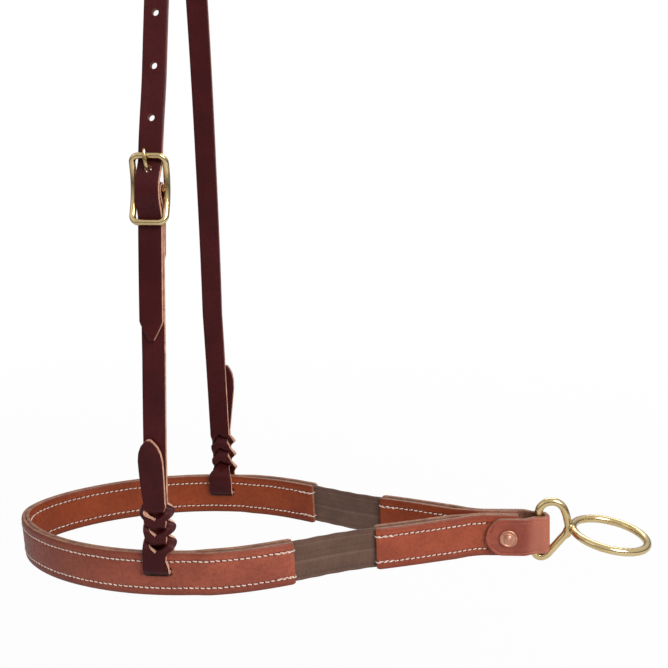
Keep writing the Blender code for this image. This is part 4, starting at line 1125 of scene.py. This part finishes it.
def brass_loop():
    shape = Shape("cast_loop_and_ring", BRASS)
    shape.tube(wire_rings(loop_line(), True, WIRE_RADIUS + CAST_SWELL, RING_PIVOT, Vector((0, 1, 0))),
               closed=True)
    ring_radius = RING_BORE / 2 + WIRE_RADIUS
    junction = (RING_PIVOT @ Matrix.Translation((LOOP_DEPTH, 0, JUNCTION_RISE))
                @ Matrix.Rotation(RING_TILT, 4, "Y"))
    circle = [Vector((RING_OVERLAP + ring_radius * (1 + cos(a)), ring_radius * sin(a), 0.0))
              for a in turns(96)]
    shape.tube(wire_rings(circle, True, WIRE_RADIUS + CAST_SWELL, junction, Vector((0, 0, 1))), closed=True)
    for x, z, wide, deep, high in BOSSES:
        boss = []
        for share in between(-0.96, 0.96, 12):
            size = MM * sqrt(1 - share * share)
            boss.append([junction @ Vector((x * MM + wide * size * cos(a), deep * size * sin(a),
                                            (z + high * share) * MM)) for a in turns(WIRE_SIDES)])
        shape.tube(boss)
    made = shape.done(None, "brass", sharp=ALL_SMOOTH)
    join = made.modifiers.new("cast", "REMESH")
    join.mode = "VOXEL"
    join.voxel_size = CAST_GRAIN
    relax = made.modifiers.new("polish", "SMOOTH")
    relax.factor = 0.5
    relax.iterations = POLISH_ROUNDS
    applied(made)
    made.data.shade_smooth()
    carry(made, "loop", ["loop_ring"])


# Hanger straps with their bloodknots

ROUND = 0.7 * MM
ROUND_ANGLES = (0.0, 30.0, 60.0, 90.0)
KNOT_STEPS = 22
BEND_STEPS = 10
KNOT_FIT = 0.1 * MM
# Shares of a crossing, from -1 to 1: where the slit opens and closes, where the straps change places,
# and over which a strand turns and the strap between them is squeezed
SLIT_ENDS = (0.97, 0.99)
CHANGE_OVER = (-0.6, 0.6)
TURN_IN, TURN_BACK_OUT = (-0.9, 0.0), (0.1, 0.95)
SQUEEZE_IN, SQUEEZE_OUT = (-0.95, -0.1), (0.05, 0.8)
BUNCHING = 0.4
TAIL_WIDTH = 13.8 * MM
TAIL_SHARES = (0.0, 0.12, 0.3, 0.5, 0.68, 0.8, 0.9, 0.96, 1.0)
TAIL_WIDTHS = (0.88, 0.93, 0.97, 1.0, 1.0, 0.9, 0.68, 0.42, 0.17)
FLARE_SHARES = (0.0, 0.2, 0.5, 0.8, 1.0)
FLARE_WIDTHS = (0.0, -0.2, -1.0, -0.8, 0.0)
INSIDE_OUT = -FACE_OUT - INSIDE_GAP
SLOPE_STEP = 1.0 * MM
BILLET_POINT = 10.0 * MM
BILLET_TIP_HALF = 1.5 * MM
SETTLED = -(STRAP + FOLD_LEATHER) / 2 - SEAT_GAP
# Each knot's crossings from the lowest up: turn in degrees, width and sideways stand-off in mm of the
# left and the right strand
NEAR_WRAPS = (((-20, 3.2, 0.0), (44, 6.0, 1.2)), ((-24, 3.0, 0.0), (44, 6.0, 0.9)),
              ((56, 5.0, 0.0), (44, 6.0, 0.2)))
OFF_WRAPS = (((-14, 2.8, -1.1), (28, 5.3, 0.3)),) * 3
# Each tail's length, lean and lift, and how far the near loop flares where it stands on the band
NEAR_TAIL = (37.0 * MM, -2.4 * MM, 0.3 * MM)
OFF_TAIL = (45.0 * MM, 4.5 * MM, 5.0 * MM)
NEAR_FLARE = 1.6 * MM
FOLD_THINNING = (-12.0 * MM, -1.0 * MM)
TIP_CURVE = 1.15
TONGUE_SLOT_WIDTH = 3.2 * MM
TONGUE_HOLE_RADIUS = 2.0 * MM
LATIGO = (DARK, RAW_EDGE, DARK)


class Cut:
    """One section of a strap, measured outwards from the noseband's middle and up from its slit."""

    def __init__(self, out, up, half, thick=STRAP / 2, turn=0.0, shift=0.0, strands=None):
        self.out, self.up, self.half, self.thick, self.shift = out, up, half, thick, shift
        self.turn, self.strands = turn, strands

    def spot(self, x, face, side=None):
        """A point at x across the strap and face through it; a parted strand is turned about itself."""
        lift = face * cos(self.turn)
        if side is None or self.strands is None:
            return x + self.shift, self.out + lift, self.up + face * sin(self.turn)
        middle, _, twist = self.strands[side]
        sign = 1 if side else -1
        across = x - middle
        return (middle + across * cos(twist) + sign * lift * sin(twist) + self.shift,
                self.out + lift * cos(twist) - sign * across * sin(twist), self.up)

    def edges(self, side):
        if self.strands is None:
            return (0.0, self.half) if side else (-self.half, 0.0)
        middle, width, _ = self.strands[side]
        return middle - width / 2, middle + width / 2


def strand_ring(cut, low, high, low_round, high_round, place, side=None, darkened=()):
    """A strand's section from low to high across, with a rounding at each of its two edges.

    The last argument names the sides, 0 low and 1 high, whose cut edge takes the dark face finish as painted
    shade, where the passing strap shades it."""
    t, span = cut.thick, high - low
    low_round, high_round = [min(rounding, t * 0.7, span * 0.45) for rounding in (low_round, high_round)]
    bare = [0 if edge in darkened else 1 for edge in (0, 1)]

    points = rolled(high, t, high_round, high_round, ROUND_ANGLES)
    points += [(low + span * share, t) for share in (0.75, 0.5, 0.25)]
    points += rolled(low, t, -low_round, low_round, ROUND_ANGLES[::-1])
    points += rolled(low, -t, -low_round, low_round, ROUND_ANGLES)
    points += [(low + span * share, -t) for share in (0.25, 0.5, 0.75)]
    points += rolled(high, -t, high_round, high_round, ROUND_ANGLES[::-1])
    tags = [bare[1]] + [0] * 8 + [bare[0]] * 3 + [2] * 8 + [bare[1]] * 2
    return [place(*cut.spot(x, face, side)) for x, face in points], tags


def whole_strap(shape, cuts, place):
    rings = []
    for cut in cuts:
        ring, tags = strand_ring(cut, -cut.half, cut.half, ROUND, ROUND, place)
        rings.append(ring)
    shape.tube(rings, tags, caps=1)


def split_strap(shape, cuts, place, darkened):
    """Skins a strap as two strands that part where the cuts are split."""
    for side in (0, 1):
        rings = []
        for cut in cuts:
            inner = ROUND * 0.5 if cut.strands else 0.0
            rounds = (inner, ROUND) if side else (ROUND, inner)
            ring, tags = strand_ring(cut, *cut.edges(side), *rounds, place, side, darkened[side])
            rings.append(ring)
        shape.tube(rings, tags, caps=1)


def spread(share):
    """How far the slit is open: widest at the crossing, closed at its two ends."""
    reach = SLIT_ENDS[0] if share < 0.0 else SLIT_ENDS[1]
    return cos(min(abs(share) / reach, 1.0) * pi / 2)


def passed(share):
    return ease(*CHANGE_OVER, share)


def squeezed(share):
    return ease(*SQUEEZE_IN, share) * (1 - ease(*SQUEEZE_OUT, share))


def strand_gap(twist):
    """How far a strand's inner edge stands off from the middle of the knot."""
    return PASSING_HALF_WIDTH + STRAP / 2 * abs(sin(twist))


def splitting_cut(share, up, front, half, wraps):
    """The strap whose slit opens round the other one, moving from the front to the back."""
    opening = spread(share)
    out = front + (KNOT_BACK - front) * passed(share)
    if opening <= 0.001:
        return Cut(out, up, half)
    turned = ease(*TURN_IN, share) * (1 - ease(*TURN_BACK_OUT, share))
    strands = []
    for sign, (degrees, width, push) in zip((-1, 1), wraps):
        twist = radians(degrees) * turned
        wide = half + (width * MM - half) * opening
        near = strand_gap(twist) * opening + push * MM * turned
        strands.append((sign * (near + wide / 2 * cos(twist)), wide, twist))
    return Cut(out, up, half, strands=strands)


def filling(share, wraps):
    """Half width and sideways shift of the strap in the slit, squeezed until it just fills it."""
    low, high = [strand_gap(radians(degrees)) + push * MM - KNOT_FIT for degrees, _, push in wraps]
    part = squeezed(share)
    return STRAP_WIDTH / 2 * (1 - part) + (low + high) / 2 * part, (high - low) / 2 * part


def passing_cut(share, up, wraps):
    half, shift = filling(share, wraps)
    return Cut(KNOT_BACK + (KNOT_FRONT - KNOT_BACK) * passed(share), up, half,
               STRAP / 2 * (1 + BUNCHING * squeezed(share)), shift=shift)


def crossing(number, splitting, wraps, front=KNOT_FRONT, half=STRAP_WIDTH / 2):
    middle = KNOT_FIRST + (number - 1) * KNOT_PITCH
    cuts = []
    for share in between(-1.0, 1.0, KNOT_STEPS):
        up = middle + share * KNOT_PITCH / 2
        if splitting:
            wide = half + (STRAP_WIDTH / 2 - half) * ease(-1.0, 1.0, share)
            cuts.append(splitting_cut(share, up, front, wide, wraps[number - 1]))
        else:
            cuts.append(passing_cut(share, up, wraps[number - 1]))
    return cuts


def tail_cuts(length, lean, lift):
    """Leaf-shaped tail lying on the cheek strap, leaning and lifting to its tip."""
    return [Cut(KNOT_FRONT + lift * share ** 2, KNOT_TOP + length * share,
                TAIL_WIDTH / 2 * level(share, TAIL_SHARES, TAIL_WIDTHS), shift=lean * share)
            for share in between(0.03, 1.0, 30)]


def over_edge_cuts(wraps):
    """From the inner face over the top edge of the noseband to the front of the knot."""
    low = Vector((INSIDE_OUT, BAND_HEIGHT / 2 - SLIT_RISE - EDGE_GAP))
    high = Vector((KNOT_FRONT, KNOT_FIRST + KNOT_PITCH / 4))
    climb = high.y - low.y
    line = bezier(low, low + Vector((0, climb * 0.68)), high - Vector((0, climb * 0.42)), high, 24)
    cuts = []
    for i, here in enumerate(line):
        wider = (BAND_LOOP_WIDTH - STRAP_WIDTH) / 2 * (1 - ease(low.y, KNOT_FIRST, here.y))
        half, shift = filling(max((here.y - KNOT_FIRST) / (KNOT_PITCH / 2), -1.0), wraps)
        cuts.append(Cut(here.x, here.y, half + wider, turn=-asin(direction(line, i).x), shift=shift))
    return cuts


def band_loop_cuts():
    """Down the inner face, through the slit and up the outer face, from inside to outside."""
    half = BAND_LOOP_WIDTH / 2
    bend = [(angle, LOOP_BEND - LOOP_BEND * cos(angle), LOOP_BEND - LOOP_BEND * sin(angle))
            for angle in between(0.0, pi / 2, BEND_STEPS)]
    return ([Cut(INSIDE_OUT + out, up, half, turn=angle + pi) for angle, out, up in bend]
            + [Cut(FACE_OUT - out, up, half, turn=2 * pi - angle) for angle, out, up in bend[::-1]])


def knot_cuts(tail, wraps, flare):
    """One bloodknot, from the tip of the tail to the standing cheek strap."""
    down = (over_edge_cuts(wraps[0]) + crossing(2, True, wraps)[:-1] + crossing(3, False, wraps)
            + tail_cuts(*tail))[::-1]
    for cut in down:
        cut.turn += pi
    start = KNOT_FIRST - KNOT_PITCH / 2
    rise = []
    for share in between(0.0, 1.0, 10)[1:-1]:
        wider = flare / 2 * level(share, FLARE_SHARES, FLARE_WIDTHS)
        rise.append(Cut(FACE_OUT, LOOP_BEND + (start - LOOP_BEND) * share, BAND_LOOP_WIDTH / 2 + wider,
                        shift=wider))
    return (down + band_loop_cuts() + rise + crossing(1, True, wraps, FACE_OUT, BAND_LOOP_WIDTH / 2)
            + crossing(2, False, wraps)[1:] + crossing(3, True, wraps)[1:])


def hanger_point(distance):
    """Outward place, height and lean of the hanger's line, from the end of the knot up."""
    if distance < BOW_LENGTH:
        lean = max(distance, 0.0) / BOW_RADIUS
        out = HANG_OUT - BOW_RADIUS * (1 - cos(lean))
        return out, BOW_START + BOW_RADIUS * sin(lean) + min(distance, 0.0), lean
    if distance < BOW_LENGTH + STRAIGHT:
        past = distance - BOW_LENGTH
        height = BOW_START + BOW_RADIUS * sin(LEAN) + past * cos(LEAN)
        return BOW_END_OUT - past * sin(LEAN), height, LEAN
    lean = LEAN + (distance - BOW_LENGTH - STRAIGHT) / CROWN_RADIUS
    return CROWN_RADIUS * cos(lean), HANGER_DROP - PEG_RADIUS + CROWN_RADIUS * sin(lean), lean


def hanger_cut(distance, offset=0.0, half=STRAP_WIDTH / 2, thick=STRAP / 2, slope=0.0, turn=0.0):
    out, up, lean = hanger_point(distance)
    return Cut(out + offset * cos(lean) - HALF_WIDTH, up + offset * sin(lean), half, thick,
               lean - atan(slope) + turn)


def slope_of(rise, distance):
    return (rise(distance + SLOPE_STEP) - rise(distance - SLOPE_STEP)) / 2 / SLOPE_STEP


def hang(x, out, up, side, drifts):
    drift = level(up / HANGER_DROP, DRIFT_SHARES, drifts)
    return Vector((x + drift - CROWN_DRIFT, side * (HALF_WIDTH + out), up - HANGER_DROP))


def near_place(x, out, up):
    return hang(x, out, up, -1, NEAR_DRIFTS)


def crown_place(x, out, up):
    if out < -HALF_WIDTH:
        return near_place(x, -out - 2 * HALF_WIDTH, up)
    return hang(x, out, up, 1, OFF_DRIFTS)


def billet_offset(distance):
    past = distance - BUCKLE_S
    if past > BUCKLE_HALF_LENGTH:
        return BILLET_STEP * (1 - ease(BUCKLE_HALF_LENGTH, BUCKLE_HALF_LENGTH + BILLET_SETTLE, past))
    if past > -BUCKLE_HALF_LENGTH:
        swell = cos(pi / 2 * past / BUCKLE_HALF_LENGTH) ** 2
        return BILLET_STEP + (BILLET_PEAK - BILLET_STEP) * swell
    return BILLET_STEP


def run_stops(*ends_and_steps):
    """Stops from each end to the next in so many steps, given as end, steps, end, steps, end."""
    stops = []
    for i in range(0, len(ends_and_steps) - 1, 2):
        low, steps, high = ends_and_steps[i:i + 3]
        stops += between(low, high, steps)[1:]
    return stops


def billet_cuts():
    """From the crown down the near side, through the buckle, to the pointed tip."""
    low = BUCKLE_S - BILLET_TAIL
    cuts = [hanger_cut(stop, billet_offset(stop), slope=slope_of(billet_offset, stop)) for stop in run_stops(
        HANGER_HALF, 16, BOW_LENGTH + STRAIGHT, 24, BOW_LENGTH, 30, BUCKLE_S + BUCKLE_HALF_LENGTH, 40,
        BUCKLE_S - BUCKLE_HALF_LENGTH, 24, low + BILLET_POINT)]
    for share in between(0.0, 1.0, 8)[1:]:
        width = STRAP_WIDTH / 2 + (BILLET_TIP_HALF - STRAP_WIDTH / 2) * share ** TIP_CURVE
        cuts.append(hanger_cut(low + BILLET_POINT * (1 - share), BILLET_STEP, width))
    return cuts


def cheek_fold_cuts():
    """The cheek strap rises to the centre bar, folds round it and is turned back down behind."""
    front, behind = BAR_OFFSET + FOLD_RADIUS, BAR_OFFSET - FOLD_RADIUS
    thin = FOLD_LEATHER / 2

    def climb(past):
        return ease(*FOLD_THINNING, past)

    cuts = [hanger_cut(BUCKLE_S + past, front * climb(past), slope=slope_of(climb, past) * front,
                       thick=STRAP / 2 + (thin - STRAP / 2) * climb(past))
            for past in between(-BUCKLE_HALF_LENGTH, 0.0, 24)[:-1]]
    base = hanger_cut(BUCKLE_S, BAR_OFFSET)
    for turn in between(base.turn, base.turn + pi, 24):
        cuts.append(Cut(base.out + FOLD_RADIUS * cos(turn), base.up + FOLD_RADIUS * sin(turn),
                        STRAP_WIDTH / 2, thin, turn))
    for past in run_stops(0.0, 10, TURN_BACK_SETTLE, 6, TURN_BACK * 0.8):
        share = ease(0.0, TURN_BACK_SETTLE, past)
        cuts.append(hanger_cut(BUCKLE_S - past, behind + (SETTLED - behind) * share, thick=thin,
                               turn=pi))
    return cuts + [hanger_cut(BUCKLE_S - TURN_BACK, SETTLED, STRAP_WIDTH / 3, thin, turn=pi)]


def buckle_matrix():
    """Frame of the buckle: local X across the strap, Y inwards, Z up the strap."""
    cut = hanger_cut(BUCKLE_S, BAR_OFFSET)
    return Matrix.Translation(near_place(0.0, cut.out, cut.up)) @ Matrix.Rotation(-cut.turn, 4, "X")


def standing_stops(*ends_and_steps):
    start = KNOT_TOP - BOW_START
    return [start, start / 2, 0.0] + run_stops(0.0, *ends_and_steps)


def hole_cutter(radius, place, along):
    turn = Vector((0, 0, 1)).rotation_difference(Vector(along)).to_matrix().to_4x4()
    return round_cutter(radius, STRAP * 4, 32, Matrix.Translation(place) @ turn)


def billet_holes():
    cutters = []
    for number in range(1, HOLE_COUNT + 1):
        distance = BUCKLE_S + TONGUE_HOLE + number * HOLE_PITCH
        spot = hanger_cut(distance, billet_offset(distance), slope=slope_of(billet_offset, distance))
        cutters.append(hole_cutter(HOLE_RADIUS, near_place(0, spot.out, spot.up),
                                   (0, -cos(spot.turn), sin(spot.turn))))
    path = tongue_line()
    index = min(range(len(path)), key=lambda i: abs(path[i].z - TONGUE_HOLE))
    turn = buckle_matrix()
    cutters.append(hole_cutter(TONGUE_HOLE_RADIUS, turn @ path[index],
                               turn.to_3x3() @ (path[index + 1] - path[index - 1])))
    return cutters


def tongue_slot():
    """Cuts the cheek strap's fold free where the tongue turns on the centre bar."""
    low = -TONGUE_EYE - TONGUE_WIRE - SEAT_GAP
    high = FOLD_RADIUS + FOLD_LEATHER / 2 + 2.0 * MM

    def build(work):
        bmesh.ops.create_cube(work, size=1.0)
        bmesh.ops.scale(work, vec=(TONGUE_SLOT_WIDTH, FOLD_RADIUS * 4, high - low), verts=work.verts)

    slot = plain_object("slot_cutter", build)
    slot.matrix_world = buckle_matrix() @ Matrix.Translation((0, 0, (low + high) / 2))
    return slot


def joined(name, *parts):
    """Joins mesh objects into one, with the finishes of the first."""
    def build(work):
        for part in parts:
            work.from_mesh(part.data)

    made = plain_object(name, build)
    for finish in parts[0].data.materials:
        made.data.materials.append(finish)
    for part in parts:
        bpy.data.objects.remove(part, do_unlink=True)
    made.data.set_sharp_from_angle(angle=radians(SHARP_ANGLE))
    return made


def hanger_strap(name, node_name, place, knot_cut, darkened, strap_cut, cutters):
    """A knot in two strands and the strap above it, cut and joined."""
    knot = Shape("knot_run", *LATIGO)
    split_strap(knot, knot_cut, place, darkened)
    knot = knot.done(None, "hanger_leather")
    strap = Shape("strap_run", *LATIGO)
    whole_strap(strap, strap_cut, place)
    strap = strap.done(None, "hanger_leather")
    cut_away(strap, cutters)
    carry(joined(name, knot, strap), "hanger", [node_name])


def hanger_straps():
    cuts = [hanger_cut(stop) for stop in standing_stops(40, BUCKLE_S - BUCKLE_HALF_LENGTH)[:-1]]
    # In both calls, the tuple after the knot's cuts lists the strand edges that take the dark face finish as
    # painted shade, where the passing strap shades them.
    hanger_strap("near_cheek_latigo", "near_cheek_strap", near_place,
                 knot_cuts(NEAR_TAIL, NEAR_WRAPS, NEAR_FLARE), ((), (0,)), cuts + cheek_fold_cuts(),
                 [tongue_slot()])
    cuts = [hanger_cut(stop) for stop in standing_stops(40, BOW_LENGTH, 24, BOW_LENGTH + STRAIGHT, 16,
                                                        HANGER_HALF)]
    for cut in billet_cuts():
        cut.out = -cut.out - 2 * HALF_WIDTH
        cut.turn = pi - cut.turn
        cuts.append(cut)
    hanger_strap("crown_latigo", "crown_strap", crown_place, knot_cuts(OFF_TAIL, OFF_WRAPS, 0.0),
                 ((0, 1), (0,)), cuts, billet_holes())


# Buckle

EYE_START = radians(-258)
EYE_END = radians(40)
TONGUE_OVERHANG = 3.4 * MM
TONGUE_TIP_SIZES = (0.97, 0.88, 0.72, 0.4)
# The tongue's way from its eye to its hole, and on to the frame: shares of the height and of the way out
TO_HOLE = ((0.35, 0.45), (0.65, 0.3), (0.85, 0.52), (1.0, 1.0))
TO_FRAME = ((0.14, 0.4), (0.34, 0.76), (0.64, 0.95), (1.0, 1.0))


def tongue_line():
    """From the end of the eye, round the centre bar, through the hole and over the frame."""
    line = [Vector((0.0, -TONGUE_EYE * cos(angle), TONGUE_EYE * sin(angle)))
            for angle in between(EYE_START, EYE_END, 28)]
    hole_out = billet_offset(BUCKLE_S + TONGUE_HOLE) - BAR_OFFSET
    rest_out = BUCKLE_ARCH + BUCKLE_WIRE + TONGUE_WIRE + SEAT_GAP
    tip = BUCKLE_HALF_LENGTH + TONGUE_OVERHANG
    start = TONGUE_EYE * sin(EYE_END)
    points = line[-2:]
    for high, out in TO_HOLE:
        points.append(Vector((0.0, -hole_out * out, start + (TONGUE_HOLE - start) * high)))
    for high, out in TO_FRAME:
        points.append(Vector((TONGUE_SIDE_LEAN * high, -hole_out - (rest_out - hole_out) * out,
                              TONGUE_HOLE + (BUCKLE_HALF_LENGTH - TONGUE_HOLE) * high)))
    points.append(Vector((TONGUE_SIDE_LEAN * tip / BUCKLE_HALF_LENGTH, -rest_out + 0.2 * MM, tip)))
    return line + smooth_path(points, 1, len(points) - 1)


def frame_outline(half_width):
    """The buckle's rounded outline, x and z, once round from its right side."""
    inset_x, inset_z = half_width - BUCKLE_CORNER, BUCKLE_HALF_LENGTH - BUCKLE_CORNER
    line = []
    for quarter, (sx, sz) in enumerate(((1, 1), (-1, 1), (-1, -1), (1, -1))):
        for angle in between(0.0, pi / 2, 10):
            turn = angle + quarter * pi / 2
            line.append((sx * inset_x + BUCKLE_CORNER * cos(turn),
                         sz * inset_z + BUCKLE_CORNER * sin(turn)))
        if quarter in (1, 3):
            line += [(sx * half_width, sx * inset_z * share) for share in between(-1.0, 1.0, 16)[1:-1]]
        else:
            line += [(sx * inset_x * share, sz * BUCKLE_HALF_LENGTH)
                     for share in between(1.0, -1.0, 8)[1:-1]]
    return line


def buckle():
    half_width = STRAP_WIDTH / 2 + BUCKLE_SIDE_GAP + BUCKLE_WIRE
    place, inward = buckle_matrix(), Vector((0, 1, 0))
    arched = [Vector((x, -BUCKLE_ARCH * (z / BUCKLE_HALF_LENGTH) ** 2, z))
              for x, z in frame_outline(half_width)]
    bar = [Vector((x, 0, 0)) for x in between(-half_width, half_width, 20)]
    shape = Shape("brass_buckle", BRASS)
    shape.tube(wire_rings(arched, True, BUCKLE_WIRE, place, inward), closed=True)
    shape.tube(wire_rings(bar, False, CENTRE_BAR, place, inward))
    shape.done("hanger", "brass", ["buckle_frame"], sharp=ROUNDED_SHARP)
    tongue = Shape("brass_tongue", BRASS)
    path = tongue_line()
    sizes = [TONGUE_WIRE] * (len(path) - 4) + [TONGUE_WIRE * size for size in TONGUE_TIP_SIZES]
    tongue.tube(wire_rings(path, False, sizes, place, Vector((1, 0, 0)), 16))
    tongue.done("tongue", "brass", ["buckle_tongue"], sharp=ROUNDED_SHARP)


nose_leather()
chin_leather()
stitching("nose", 11, (1,), STITCH_INSET - PLAN.front, PLAN.front - STITCH_INSET,
          ((-PLAN.front, 1), (PLAN.front, -1)), (None, None))
stitching("chin", 12, (-1, 1), PLAN.chin + STITCH_INSET, PLAN.end, ((PLAN.chin, 1),), (under_tab, closed_up))
webbing()
tab()
rivet_parts()
brass_loop()
hanger_straps()
buckle()
